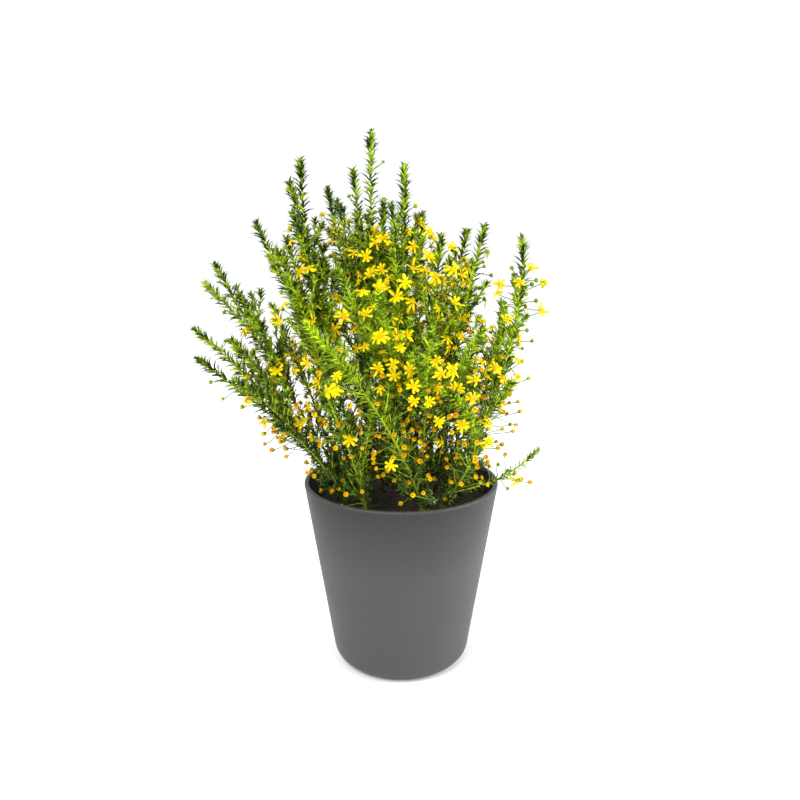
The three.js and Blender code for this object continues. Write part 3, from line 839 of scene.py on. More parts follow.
def leaf_shape(lobes, curl):
    """A needle leaf that bends away from its stem to a point, with a short lobe on each side in lobes."""
    shape = Shape()
    levels = [(0.0, 0.7), (0.58, 0.95)]
    rings = [ring(0.4 * wide + 0.1, wide, LEAF_LENGTH * up, 3, 0.0, curl * up**2) for up, wide in levels]
    corners, faces = stack(rings, (curl, 0, LEAF_LENGTH))
    shape.add(corners, faces, [up for up, _ in levels for _ in range(3)] + [1.0])
    middle, low = curl * 0.5**2, LEAF_LENGTH * 0.5
    for side in lobes:
        root = [(middle - 0.3, 0, low), (middle + 0.3, 0, low), (middle, 0, low + 1.5)]
        point = (middle - 0.3, side * 2.1, low + 3.0)
        order = [(0, 1, 2), (1, 0, 3), (2, 1, 3), (0, 2, 3)]
        if side > 0:
            order = [tuple(reversed(face)) for face in order]
        shape.add([*root, point], order, [0.5, 0.5, 0.6, 1.0])
    return shape.mesh("leaf")


def petal_shape(draw, count, droop):
    """A whorl of narrow blunt petals round the disc, each one a thin closed blade."""
    shape = Shape()
    skipped = int(draw.between(0, 1.3))
    for i in range(count - skipped):
        length = draw.between(*PETAL_LENGTHS)
        width = draw.between(*PETAL_WIDTHS)
        tilt = droop + draw.between(-0.5, 0.5)
        stations = [(0, 0.5), (0.4, 0.92 * width), (0.8, width), (1, 0.6)]
        rings = []
        for share, half_width in stations:
            reach = PETAL_ROOT + share * length
            lift = 0.25 - math.tan(tilt) * share * length - 0.55 * share * share
            edge = 0.22 * share
            section = [(reach, -half_width, lift + edge), (reach, 0, lift - 0.12)]
            section += [(reach, half_width, lift + edge), (reach, 0, lift + 0.14)]
            rings.append(section)
        corners, faces = stack(rings)
        turn = 2 * math.pi * i / count + draw.between(-0.22, 0.22)
        along = [k for k in (0, 0.45, 0.85, 1) for _ in range(4)]
        shape.add(corners, faces, along, upright_turn(turn))
    return shape.mesh("petals")


def floret_shape(name, radius, height, hollow, florets):
    """A dome of small pointed florets, in a spiral on a smooth core, its value along largest at the rim."""
    shape = Shape()
    levels = [(1.0, 0.0), (0.94, 0.45), (0.66, 0.8), (0.3, 0.95 - hollow)]
    shape.add_turned([(radius * share, height * up) for share, up in levels], [share for share, _ in levels])
    for i in range(florets):
        share = math.sqrt((i + 0.5) / florets)
        x, y = share * math.cos(i * GOLDEN_ANGLE), share * math.sin(i * GOLDEN_ANGLE)
        up = math.sqrt(max(0.0, 1 - share * share)) - hollow * (1 - share) ** 2
        middle = np.array([radius * x, radius * y, height * up])
        out = unit(np.array([x, y, 0.55]))
        side = unit(np.cross(UP, out)) * 0.3
        other = np.cross(out, side)
        root = [middle + side, middle + other, middle - side, middle - other]
        faces = [(0, 1, 4), (1, 2, 4), (2, 3, 4), (3, 0, 4), (3, 2, 1, 0)]
        shape.add([*root, middle + out * 0.5], faces, [share] * 5)
    return shape.mesh(name)


def turned_shape(name, levels):
    """A round shell through levels given as (radius, height), its value along from 0 to 1."""
    shape = Shape()
    shape.add_turned(levels, np.linspace(0, 1, len(levels)))
    return shape.mesh(name)


def crumb_shape(draw):
    """A rough crumb of soil, a lumpy ball one millimetre in radius."""
    shape = Shape()
    rings = []
    for z, radius in ((-0.85, 0.35), (-0.2, 0.95), (0.5, 0.8), (0.85, 0.3)):
        corners = ring(radius, radius, z, CRUMB_SIDES, draw.between(0, 1))
        rings.append([tuple(c * draw.between(0.75, 1.15) for c in corner) for corner in corners])
    corners, faces = stack(rings)
    shape.add(corners, faces, [draw.between(0, 1)] * len(corners))
    return shape.mesh("crumb")


def patterns(name, meshes):
    """A collection of pattern objects outside the scene, for a growth tree to copy from."""
    kept = bpy.data.collections.new(name)
    for number, mesh in enumerate(meshes):
        kept.objects.link(bpy.data.objects.new(f"{name}_{number:02d}", mesh))
    return kept


def drop_patterns(kept):
    for pattern in list(kept.objects):
        bpy.data.objects.remove(pattern)
    bpy.data.collections.remove(kept)


class GrowthTree(Nodes):
    """A geometry node tree with inputs named by kind, which takes a mesh and gives a finished one."""

    def __init__(self, name, **inputs):
        tree = bpy.data.node_groups.new(name, "GeometryNodeTree")
        tree.interface.new_socket("Geometry", in_out="INPUT", socket_type="NodeSocketGeometry")
        for kind, labels in inputs.items():
            for label in labels.split(", "):
                tree.interface.new_socket(label, in_out="INPUT", socket_type="NodeSocket" + kind)
        tree.interface.new_socket("Geometry", in_out="OUTPUT", socket_type="NodeSocketGeometry")
        super().__init__(tree)
        self.source = self.add("NodeGroupInput")

    def given(self, label):
        return self.source.also(label)

    def stored(self, name, kind="FLOAT"):
        return self.add("GeometryNodeInputNamedAttribute", {"data_type": kind}, {"Name": name})

    def given_curve(self):
        return self.add("GeometryNodeMeshToCurve", None, {"Mesh": self.given("Geometry")})

    def smoothed(self, geometry):
        return self.add("GeometryNodeSetShadeSmooth", None, {"Geometry": geometry})

    def picked(self, label, count, salt):
        """One of a collection's patterns for each item, taken at random."""
        values = {"Collection": self.given(label), "Separate Children": True, "Reset Children": True}
        kinds = self.add("GeometryNodeCollectionInfo", None, values)
        choice = self.random(0.0, 0.999, salt) * self.given(count)
        whole = self.add("ShaderNodeMath", {"operation": "FLOOR"}, {0: choice})
        return {"Instance": kinds, "Pick Instance": True, "Instance Index": whole}

    def random(self, low, high, salt):
        """A random number for each item, from the tree's own seed."""
        values = {2: low, 3: high, 8: self.given("Seed") + salt}
        return self.add("FunctionNodeRandomValue", {"data_type": "FLOAT"}, values, 1)

    def turned(self, rotation, axis, angle):
        """A rotation followed by a turn about one of its own axes."""
        turn = self.add("FunctionNodeAxisAngleToRotation", None, {"Axis": axis, "Angle": angle})
        settings = {"rotation_space": "LOCAL"}
        return self.add("FunctionNodeRotateRotation", settings, {"Rotation": rotation, "Rotate By": turn})

    def tube(self, curve, radius, sides):
        """A closed round tube along a curve, of a radius stored on it."""
        circle = {"Resolution": sides, "Radius": 1.0}
        outline = self.add("GeometryNodeCurvePrimitiveCircle", {"mode": "RADIUS"}, circle)
        values = {"Curve": curve, "Profile Curve": outline, "Scale": radius, "Fill Caps": True}
        return self.add("GeometryNodeCurveToMesh", None, values)

    def copies(self, points, values, tint, finish):
        """Copies of a pattern on points, each with its own tint, as real faces of one finish."""
        made = self.add("GeometryNodeInstanceOnPoints", None, {"Points": points, **values})
        settings = {"data_type": "FLOAT", "domain": "INSTANCE"}
        values = {"Geometry": made, "Name": "tint", "Value": tint}
        tinted = self.add("GeometryNodeStoreNamedAttribute", settings, values)
        real = self.add("GeometryNodeRealizeInstances", None, {"Geometry": tinted})
        return self.painted(real, finish)

    def painted(self, geometry, finish):
        return self.add("GeometryNodeSetMaterial", None, {"Geometry": geometry, "Material": finish})

    def finish(self, *parts):
        joined = self.add("GeometryNodeJoinGeometry", None, {"Geometry": list(reversed(parts))})
        real = self.add("GeometryNodeRealizeInstances", None, {"Geometry": joined})
        self.add("NodeGroupOutput", None, {"Geometry": real})
        return self.tree


@functools.cache
def leafy_shoots_tree():
    """Bark along the middle lines, and leaves in a golden spiral, closer and more upright at the tip."""
    tree = GrowthTree(
        "Leafy Shoots",
        Float="Leaf Spacing, Leaf Size, Leaf Width, Tuft Depth, Club Depth, Leafless Tip, "
        "Lean at Tip, Lean in Tuft, Lean Below",
        Int="Leaf Patterns, Seed",
        Collection="Leaves",
        Material="Leaf Finish, Bark Finish",
    )
    curve = tree.given_curve()
    bark = tree.tube(curve, tree.stored("bark_radius"), 7)
    values = {"Curve": curve, "Length": tree.given("Leaf Spacing")}
    points = tree.add("GeometryNodeCurveToPoints", {"mode": "LENGTH"}, values)
    below = tree.stored("below")
    tuft = tree.given("Tuft Depth")
    index = tree.add("GeometryNodeInputIndex")
    club = tree.given("Club Depth") * tree.stored("club")
    thinned = (below < club).most((index % tree.stored("every")) < 0.5)
    shown = thinned * (tree.stored("leafy") > 0.5) * (below > tree.given("Leafless Tip"))
    tip_lean, tuft_lean = tree.given("Lean at Tip"), tree.given("Lean in Tuft")
    near_tip = tree.ranged(below, 0.0, tuft * 0.45, tip_lean, tuft_lean)
    lower = tree.ranged(below, tuft * 0.6, tuft * 1.6, 0.0, tree.given("Lean Below") - tuft_lean)
    lean = near_tip + lower + tree.random(-LEAN_SPREAD, LEAN_SPREAD, 1)
    vigour = tree.stored("vigour")
    level_top = tree.ranged(below, 0.0, club, TOP_LEAF_SIZE, 1.0)
    wanted = level_top * tree.random(*LEAF_SIZES, 2) * tree.given("Leaf Size")
    fitting = tree.stored("room") / (LEAF_LENGTH * MM)
    size = (wanted * vigour).least(fitting).most(SMALLEST_LEAF)
    thinner = tree.ranged(below, 0.04, 0.13, 1.0, LOWER_LEAF_WIDTH) * vigour
    width = tree.given("Leaf Width") * thinner * tree.random(*LEAF_WIDTHS, 3)
    turn = index * GOLDEN_ANGLE + tree.random(-SPIRAL_SPREAD, SPIRAL_SPREAD, 4)
    spiral = tree.turned(points.also("Rotation"), Z_AXIS, turn)
    leaning = tree.turned(spiral, Y_AXIS, lean)
    rotation = tree.turned(leaning, Z_AXIS, tree.random(-TWIST_SPREAD, TWIST_SPREAD, 5))
    scale = tree.add("ShaderNodeCombineXYZ", None, {0: width, 1: width, 2: size})
    values = {"Selection": shown, "Rotation": rotation, "Scale": scale}
    values |= tree.picked("Leaves", "Leaf Patterns", 6)
    leaves = tree.copies(points, values, tree.random(0.0, 1.0, 7), tree.given("Leaf Finish"))
    return tree.finish(tree.painted(tree.smoothed(bark), tree.given("Bark Finish")), leaves)


@functools.cache
def flower_heads_tree():
    """Stalks along their middle lines, and a bloom, button or bud that looks its own way on each end."""
    tree = GrowthTree(
        "Flower Heads",
        Int="Stalk Sides, Petal Patterns, Seed",
        Collection="Petals",
        Object="Disc, Button, Cup, Bud",
        Material="Petal Finish, Disc Finish, Button Finish, Cup Finish, Stalk Finish",
    )
    tube = tree.tube(tree.given_curve(), tree.stored("stalk_radius"), tree.given("Stalk Sides"))
    parts = [tree.painted(tree.smoothed(tube), tree.given("Stalk Finish"))]
    kind = tree.stored("kind")
    values = {"Mesh": tree.given("Geometry"), "Selection": kind > 0.5}
    ends = tree.add("GeometryNodeMeshToPoints", None, values)
    values = {"Vector": tree.stored("facing", "FLOAT_VECTOR")}
    facing = tree.add("FunctionNodeAlignRotationToVector", {"axis": "Z"}, values)
    rotation = tree.turned(facing, Z_AXIS, tree.random(0.0, 2 * math.pi, 1))
    size = tree.random(*HEAD_SIZES, 2)
    tint = tree.random(0.0, 1.0, 4)

    def heads(selection, values, finish):
        common = {"Selection": selection, "Rotation": rotation, "Scale": size}
        parts.append(tree.copies(ends, common | values, tint, tree.given(finish)))

    def pattern(label):
        values = {"Object": tree.given(label)}
        return {"Instance": tree.add("GeometryNodeObjectInfo", None, values, "Geometry")}

    heads(kind < 1.5, tree.picked("Petals", "Petal Patterns", 3), "Petal Finish")
    heads(kind < 1.5, pattern("Disc"), "Disc Finish")
    heads((kind > 1.5) * (kind < 2.5), pattern("Button"), "Button Finish")
    heads(kind < 2.5, pattern("Cup"), "Cup Finish")
    heads(kind > 2.5, pattern("Bud"), "Cup Finish")
    return tree.finish(*parts)


@functools.cache
def crumbly_soil_tree():
    """The soil's own surface with loose crumbs scattered over its top."""
    tree = GrowthTree(
        "Crumbly Soil",
        Float="Crumbs a Square Metre, Smallest Crumb, Largest Crumb",
        Int="Crumb Patterns, Seed",
        Collection="Crumbs",
        Material="Soil Finish",
    )
    values = {
        "Mesh": tree.given("Geometry"),
        "Density": tree.given("Crumbs a Square Metre") * tree.stored("loose"),
        "Seed": tree.given("Seed"),
    }
    points = tree.add("GeometryNodeDistributePointsOnFaces", {"distribute_method": "RANDOM"}, values)
    spread = tree.random(0.0, 1.0, 1) ** SMALL_CRUMBS
    reach = tree.given("Largest Crumb") - tree.given("Smallest Crumb")
    size = spread * reach + tree.given("Smallest Crumb")
    turned = tree.turned(points.also("Rotation"), Z_AXIS, tree.random(0, CRUMB_TURN, 3))
    rotation = tree.turned(turned, X_AXIS, tree.random(0, CRUMB_TURN, 4))
    values = {"Rotation": rotation, "Scale": size} | tree.picked("Crumbs", "Crumb Patterns", 2)
    finish = tree.given("Soil Finish")
    crumbs = tree.copies(points, values, tree.random(0.0, 1.0, 5), finish)
    return tree.finish(tree.painted(tree.given("Geometry"), finish), crumbs)


@functools.cache
def turned_wall_tree():
    """A wall turned round the upright axis from half of its section."""
    tree = GrowthTree("Turned Wall", Int="Sides", Material="Wall Finish")
    values = {"Resolution": tree.given("Sides"), "Radius": MM}
    path = tree.add("GeometryNodeCurvePrimitiveCircle", {"mode": "RADIUS"}, values)
    values = {"Curve": path, "Profile Curve": tree.given_curve()}
    turned = tree.add("GeometryNodeCurveToMesh", None, values)
    merged = tree.add("GeometryNodeMergeByDistance", None, {"Geometry": turned, "Distance": MM / 20})
    return tree.finish(tree.painted(tree.smoothed(merged), tree.given("Wall Finish")))


def pot_finish(settings):
    """Matt anthracite with faint mottling and fine pits, with painted shade darkening the upper wall and a
    painted highlight paling the lip.
    """
    finish = Finish("Anthracite pot", Specular_IOR_Level=0.42)
    cloud = finish.grain(14.0, 4.0, 0.6)
    speck = finish.grain(900.0, 2.0, 0.6)
    height = finish.height()
    # Painted shadow of the foliage: the wall is painted darker towards its top
    foliage_shadow = finish.ranged(height, POT_HEIGHT * 0.6 * MM, POT_HEIGHT * MM, 0.0, 1.0)
    # Painted highlight: a paler band along the top of the lip, broken by noise
    lip = finish.ranged(height, (POT_HEIGHT - 2.2) * MM, POT_HEIGHT * MM, 0.0, 0.55)
    lip_highlight_share = lip * finish.ranged(finish.grain(160.0), 0.35, 0.65, 0.5, 1.0)
    pitted = finish.ranged(finish.grain(60.0), 0.5, 0.62, 0, 1)
    pits = finish.ranged(finish.cells(260.0), 0.0, 0.2, 1.0, 0.0) * pitted
    # Two mottling greys, and the grey of the painted shadow near the top
    dark, light, shadow_grey = ([c * share for c in settings.wall_colour] for share in (0.66, 1.28, 0.3))
    mottled = finish.blend(cloud * 0.75 + speck * 0.25, dark, light)
    colour = finish.blend(lip_highlight_share, finish.blend(foliage_shadow, mottled, shadow_grey), settings.lip_highlight_colour)
    relief = finish.bump(speck * 0.5 - pits + cloud * 0.4, 0.00025, 0.5)
    return finish.surface(colour, finish.ranged(cloud, 0.3, 0.7, 0.44, 0.6), relief)


def soil_finish(settings):
    """Dark damp peat with paler crumbs and fibres."""
    finish = Finish("Peat soil", Specular_IOR_Level=0.25)
    fine = finish.grain(420.0, 5.0, 0.7)
    damp = finish.ranged(finish.grain(60.0, 3.0), 0.45, 0.7, 0.0, 0.6)
    share = fine * 0.9 + finish.stored("tint") * 0.3 - 0.25
    colour = finish.blend(share, settings.damp_colour, settings.crumb_colour)
    colour = finish.blend(damp, colour, settings.damp_colour)
    return finish.surface(colour, finish.ranged(fine, 0.3, 0.7, 0.75, 0.98), finish.bump(fine, 0.0008))


def leaf_finish(settings):
    """Lighter at the leaf's base than at its end; the youngest have pale points; painted shade darkens the
    lowest, painted light brightens those on stems that catch it, and the highest are darker.
    """
    finish = Finish("Needle leaf", Specular_IOR_Level=0.16)
    along, tint, sun = finish.stored("along"), finish.stored("tint"), finish.stored("sun")
    height, patch = finish.height(), finish.grain(70.0, 2.0)
    young = finish.ranged(finish.stored("below"), 0.0, 0.016, 1.0, 0.0)
    # Painted shade: below a height the leaves go darker and greyer, less so on stems that catch the light
    low = finish.ranged(height, settings.low_shade_below, settings.low_shade_below + 0.1, 1.0, 0.0) * (1 - sun)
    high = finish.ranged(height, 0.26, 0.34, 0.0, 0.42)
    # Painted light: leaves on stems that catch the light are lighter
    share = 0.86 - along * 0.6 + (tint - 0.5) * 1.1 + (sun - 0.2) * 0.3 + (patch - 0.5) * 1.3 - high
    colour = finish.blend(share - low * 0.45, settings.shade_green, settings.light_green)
    colour = finish.blend(low * 0.6, colour, settings.low_shade_green)
    # Pale points on the youngest leaves, and painted light on the points of stems that catch it
    point = finish.ranged(along, 0.6, 1.0, 0.0, 0.75) * (young * 0.8 + sun * 0.3)
    return finish.surface(finish.blend(point, colour, settings.tip_green), 0.46)


def bark_finish(settings):
    """Stems lime green near their tips, olive further down and woody brown at the soil; on stems that catch
    the light, painted light keeps more of the lime.
    """
    finish = Finish("Stem bark", Specular_IOR_Level=0.35)
    # Painted light: stems that catch the light keep more lime and less woody brown
    shaded = 1 - finish.stored("sun") * 0.8
    woody = finish.ranged(finish.height(), (SOIL_LEVEL + 70) * MM, SOIL_LEVEL * MM, 0.0, 1.0) * shaded
    fibre = finish.grain(500.0, 3.0)
    older = finish.ranged(finish.stored("below"), 0.02, 0.14, 0.0, 1.0) * shaded
    green = finish.blend(older, settings.light_green, settings.stem_green)
    colour = finish.blend(woody * 0.8 + fibre * 0.2 - 0.1, green, settings.wood_brown)
    return finish.surface(colour, 0.62, finish.bump(fibre, 0.0003))


def petal_finish(settings):
    """Clear yellow petals, with painted shade making them a little deeper where they leave the disc."""
    finish = Finish("Yellow petal", Specular_IOR_Level=0.15)
    along, tint = finish.stored("along"), finish.stored("tint")
    # Painted shade near the disc, with a random tint
    share = finish.ranged(along, 0.0, 0.55, 0.0, 0.85) + tint * 0.25
    return finish.surface(finish.blend(share, settings.petal_base_shade, settings.petal_yellow), 0.5)


def floret_finish(name, low_rim, high_rim, low_middle, high_middle):
    """Golden florets; the rim and the middle each lie between two colours."""
    finish = Finish(name, Specular_IOR_Level=0.08)
    along, tint = finish.stored("along"), finish.stored("tint")
    speck = finish.grain(1500.0, 2.0)
    rim = finish.ranged(along + (speck - 0.5) * 0.5, 0.4, 0.74, 0.0, 1.0)
    gold = finish.blend(tint, low_rim, high_rim)
    middle = finish.blend(tint, low_middle, high_middle)
    return finish.surface(finish.blend(rim, middle, gold), 0.7)


def cup_finish(settings):
    """Green cups and buds with a yellower top."""
    finish = Finish("Green cup", Specular_IOR_Level=0.15)
    share = finish.stored("along") * 0.6 + finish.stored("tint") * 0.4
    return finish.surface(finish.blend(share, settings.cup_green, settings.bud_lime), 0.5)


def stalk_finish(settings):
    """Thin stalks, from grey green to lime, with painted light making them limer on stems that catch it."""
    finish = Finish("Flower stalk", Specular_IOR_Level=0.15)
    # Painted light: stalks on stems that catch the light are limer
    share = finish.grain(60.0, 1.0) * 0.6 + finish.stored("sun") * 0.5
    return finish.surface(finish.blend(share, settings.stalk_green, settings.bud_lime), 0.55)


def colour_of(label, description, *value):
    return FloatVectorProperty(
        name=label, description=description, default=shade(*value), subtype="COLOR", size=3, min=0, max=1
    )


def length_of_one(label, description, millimetres):
    return FloatProperty(
        name=label, description=description, default=millimetres * MM, unit="LENGTH", precision=4, min=0
    )


def number_of(label, description, value, unit="NONE"):
    return FloatProperty(name=label, description=description, default=value, unit=unit)


def count_of(label, description, value, least=0):
    return IntProperty(name=label, description=description, default=value, min=least)


class EuryopsPot(bpy.types.PropertyGroup):
    """The pot's finish and how finely it is turned."""

    sides: count_of("Sides", "Flat strips round the pot", 144, 12)
    wall_colour: colour_of("Wall", "Colour of the pot's matt wall", 61, 62, 61)
    # The lip colour is a painted highlight for the top of the lip
    lip_highlight_colour: colour_of("Lip", "Colour of the lip where it is rubbed", 84, 85, 82)


class EuryopsSoil(bpy.types.PropertyGroup):
    """The soil's colours and its loose crumbs."""

    crumbs: number_of("Crumbs", "Crumbs on a square metre", 46000)
    smallest: length_of_one("Smallest crumb", "Radius of the smallest crumb", 0.4)
    largest: length_of_one("Largest crumb", "Radius of the largest crumb", 2.2)
    seed: count_of("Seed", "Seed of the crumbs' places", 5)
    damp_colour: colour_of("Damp soil", "Colour between the crumbs", 30, 27, 22)
    crumb_colour: colour_of("Crumbs", "Colour of the palest crumbs", 92, 82, 66)


class EuryopsShoots(bpy.types.PropertyGroup):
    """The leaves along the shoots, and the greens."""

    leaf_spacing: length_of_one("Leaf spacing", "Along a shoot, from one club leaf to the next", 0.44)
    leaf_size: number_of("Leaf size", "Length of the leaves against their plain one", 1.0)
    leaf_width: number_of("Leaf width", "Width of the leaves against their plain one", 1.15)
    tuft_depth: length_of_one("Tuft depth", "How far down from the tip the leaves stand more upright", 36)
    club_depth: length_of_one("Club depth", "How far down from the tip the leaves stand closest", 15)
    leafless_tip: length_of_one("Leafless tip", "How much of the end stands bare inside its club", 2)
    lean_at_tip: number_of("Lean at tip", "Leaf's lean off the stem", 0.2, "ROTATION")
    lean_in_tuft: number_of("Lean in tuft", "Leaf's lean in the tuft", 0.5, "ROTATION")
    lean_below: number_of("Lean below", "Leaf's lean lower down", 0.75, "ROTATION")
    seed: count_of("Seed", "Seed of the leaves' small differences", 3)
    shade_green: colour_of("Shade green", "Darkest leaf colour", 20, 50, 0)
    light_green: colour_of("Light green", "Lightest leaf colour", 190, 222, 30)
    tip_green: colour_of("Tip green", "Colour of the youngest leaf points", 142, 176, 62)
    # Painted shade: the colour and the height of the shaded lowest leaves
    low_shade_green: colour_of("Dull green", "Colour of the lowest leaves", 40, 58, 36)
    low_shade_below: length_of_one("Dull height", "Height below which the leaves are dull", 160)
    stem_green: colour_of("Stem green", "Colour of the older stems", 74, 92, 34)
    wood_brown: colour_of("Wood", "Colour of the stems at the soil", 58, 44, 30)


LEAF_INPUTS = ["leaf_spacing", "leaf_size", "leaf_width", "tuft_depth", "club_depth", "leafless_tip"]
LEAF_INPUTS += ["lean_at_tip", "lean_in_tuft", "lean_below"]


class EuryopsFlowers(bpy.types.PropertyGroup):
    """The heads' patterns and colours."""

    whorls: count_of("Petal whorls", "Different petal whorls to copy from", 8, 1)
    stalk_sides: count_of("Stalk sides", "Flat strips round a flower stalk", 4, 3)
    seed: count_of("Seed", "Seed of the heads' small differences", 9)
    petal_yellow: colour_of("Petal", "Colour of the petals", 238, 218, 0)
    # The petal base colour is painted shade where the petals leave the disc
    petal_base_shade: colour_of("Petal base", "Colour of the petals at the disc", 232, 194, 0)
    disc_gold: colour_of("Disc gold", "Colour of an open head's disc", 222, 172, 0)
    fresh_gold: colour_of("Fresh gold", "Colour of a button's fresh florets", 240, 200, 0)
    old_gold: colour_of("Old gold", "Colour of a button's older florets", 206, 146, 0)
    old_middle: colour_of("Old middle", "Colour in the middle of an old button", 180, 118, 0)
    cup_green: colour_of("Cup green", "Colour of the cups", 54, 84, 20)
    bud_lime: colour_of("Bud lime", "Colour of the buds", 138, 172, 22)
    stalk_green: colour_of("Stalk green", "Colour of the stalks", 66, 88, 38)


class EuryopsStage(bpy.types.PropertyGroup):
    """The floor, the light and the camera."""

    pitch: number_of("Camera pitch", "Camera's tilt downwards", math.radians(13.52), "ROTATION")
    distance: length_of_one("Camera distance", "From the camera to its target", 650)
    target_height: length_of_one("Target height", "Height of the camera's target", 203.7)
    side_step: length_of_one("Side step", "How far the camera stands to the left", 0.88)
    focal_pixels: number_of("Focal length", "In pixels of an 800 pixel frame", 882)
    sky: number_of("Surround", "Strength of the white surround", 1.06)
    key: number_of("Key light", "Power of the key light", 20, "POWER")
    fill: number_of("Fill light", "Power of the fill light", 21, "POWER")
    floor_colour: colour_of("Floor", "Colour of the plain floor", 250, 250, 250)


class EuryopsOperator(bpy.types.Operator):
    """Shared by the operators that make the pieces."""

    bl_options = {"REGISTER", "UNDO"}


def pot_section():
    """Half of the pot's section, from the middle of its foot round the lip to the middle of its floor."""
    taper = math.atan2(RIM_RADIUS - FOOT_RADIUS, POT_HEIGHT)
    foot_flat = FOOT_RADIUS - FOOT_ROUND / math.tan((math.pi / 2 + taper) / 2)
    section = [(0.0, 0.0)]

    def arc(x, z, radius, start, end, steps):
        for i in range(steps + 1):
            angle = start + (end - start) * i / steps
            section.append((x + radius * math.cos(angle), z + radius * math.sin(angle)))

    upright = math.pi / 2
    arc(foot_flat, FOOT_ROUND, FOOT_ROUND, -upright, -taper, 14)
    lip = (RIM_RADIUS - LIP_ROUND * (1 - math.cos(taper)), POT_HEIGHT - LIP_ROUND * (1 + math.sin(taper)))
    section += np.linspace(section[-1], lip, WALL_STEPS)[1:-1].tolist()
    arc(RIM_RADIUS - LIP_ROUND, POT_HEIGHT - LIP_ROUND, LIP_ROUND, -taper, upright, 6)
    arc(RIM_RADIUS - WALL + LIP_ROUND, POT_HEIGHT - LIP_ROUND, LIP_ROUND, upright, math.pi - taper, 6)
    section += [(inner_radius(FLOOR), FLOOR), (0.0, FLOOR)]
    return section


class EURYOPS_OT_pot(EuryopsOperator):
    """Turn the pot with its rounded foot and lip"""

    bl_idname = "euryops.pot"
    bl_label = "Pot"

    def execute(self, context):
        settings = context.scene.euryops_pot
        section = np.array([(x - 1.0, -z, 0.0) for x, z in reversed(pot_section())])
        mesh = wires_of("pot_section", [section])
        inputs = {"sides": settings.sides, "wall_finish": pot_finish(settings)}
        wall = grown("pot_wall", mesh, turned_wall_tree(), **inputs)
        placed(wall, "pot", "pot")
        return {"FINISHED"}


def soil_height(x, y):
    wave = math.sin(SOIL_WAVE_X * x + 1) + math.cos(SOIL_WAVE_Y * y + SOIL_SLANT * x)
    return SOIL_BUMP / 2 * wave


def soil_plug():
    """The plug of soil, uneven on top."""
    floor_radius = inner_radius(FLOOR) - 2 * FIT_GAP
    top_radius = inner_radius(SOIL_LEVEL) - 2 * FIT_GAP
    rings = [ring(floor_radius, floor_radius, FLOOR + FIT_GAP, PLUG_SIDES)]
    rings.append(ring(top_radius, top_radius, SOIL_LEVEL, PLUG_SIDES))
    for level in range(PLUG_ROUNDS - 1, 0, -1):
        radius = top_radius * level / PLUG_ROUNDS
        edge = min(1.0, (top_radius - radius) / SMOOTH_EDGE)
        uneven = []
        for x, y, z in ring(radius, radius, SOIL_LEVEL, PLUG_SIDES):
            rough = noise.fractal((x / PLUG_GRAIN, y / PLUG_GRAIN, 0.5), 0.9, 2.2, 4)
            uneven.append((x, y, z + soil_height(x, y) + PLUG_ROUGHNESS * rough * edge))
        rings.append(uneven)
    corners, faces = stack(rings, (0, 0, SOIL_LEVEL + soil_height(0, 0)))
    loose = [float(k >= 2 * PLUG_SIDES) for k in range(len(corners))]
    return mesh_of("soil_plug", np.array(corners) * MM, faces, tint=[0.4] * len(corners), loose=loose)


class EURYOPS_OT_soil(EuryopsOperator):
    """Fill the pot with crumbly soil"""

    bl_idname = "euryops.soil"
    bl_label = "Soil"

    def execute(self, context):
        settings = context.scene.euryops_soil
        draw = Draw(CRUMB_SEED)
        kept = patterns("crumbs", [crumb_shape(draw) for _ in range(CRUMB_PATTERNS)])
        values = {
            "crumbs_a_square_metre": settings.crumbs,
            "smallest_crumb": settings.smallest / MM,
            "largest_crumb": settings.largest / MM,
            "crumb_patterns": CRUMB_PATTERNS,
            "seed": settings.seed,
            "crumbs": kept,
            "soil_finish": soil_finish(settings),
        }
        soil = grown("soil_fill", soil_plug(), crumbly_soil_tree(), **values)
        drop_patterns(kept)
        placed(soil, "soil", "soil")
        return {"FINISHED"}


def shoot_values(path, radii, bare, sun, vigour, every, club):
    """What the growth tree reads along one shoot or twig."""
    steps = np.linalg.norm(np.diff(path, axis=0), axis=1)
    up = np.concatenate([[0], np.cumsum(steps)])
    below = up[-1] - up
    room = np.array([room_at(point) for point in path])
    if path[-1][2] > LOW_TIP:
        vigour = vigour * np.interp(path[:, 2], WEAK_HEIGHTS, WEAK_SHARES)
    thick, thin = radii
    return {
        "below": below * MM,
        "bark_radius": (thin + (thick - thin) * (below / below[0]) ** 0.8) * MM,
        "leafy": (up >= bare).astype(float),
        "room": np.maximum(room - CLEAR_OF_POT, 0) * MM,
        "sun": np.full(len(path), sun),
        "vigour": np.full(len(path), vigour),
        "every": np.full(len(path), every),
        "club": np.full(len(path), club),
    }


def shoot_paths(stem):
    """The paths of a stem's shoots and twigs, with their values."""
    draw = Draw(SUN_SEED + ord(stem))
    base_sun = SUNLIT.get(stem, PLAIN_SUN)
    paths, values = [], []
    for shoot, route in enumerate(plant().fine[stem]):
        radii, bare = (SHOOT_BARK, SHOOT_BARE) if shoot else (STEM_BARK, STEM_BARE)
        lit, vigour, every = (base_sun, 1.0, 2) if route[-1][2] > LOW_TIP else (0, LOW_VIGOUR, 1)
        lit += draw.between(*SHOOT_SUN)
        paths.append(route)
        values.append(shoot_values(route, radii, bare, lit, vigour, every, club=1.0))
    for path in plant().twigs(stem):
        lit = np.interp(path[0][2], DIM_HEIGHTS, [0, base_sun * TWIG_DIMMER]) + draw.between(*TWIG_SUN)
        paths.append(path)
        values.append(shoot_values(path, TWIG_BARK, TWIG_BARE, lit, TWIG_VIGOUR, every=3, club=0.5))
    return paths, {key: [one[key] for one in values] for key in values[0]}


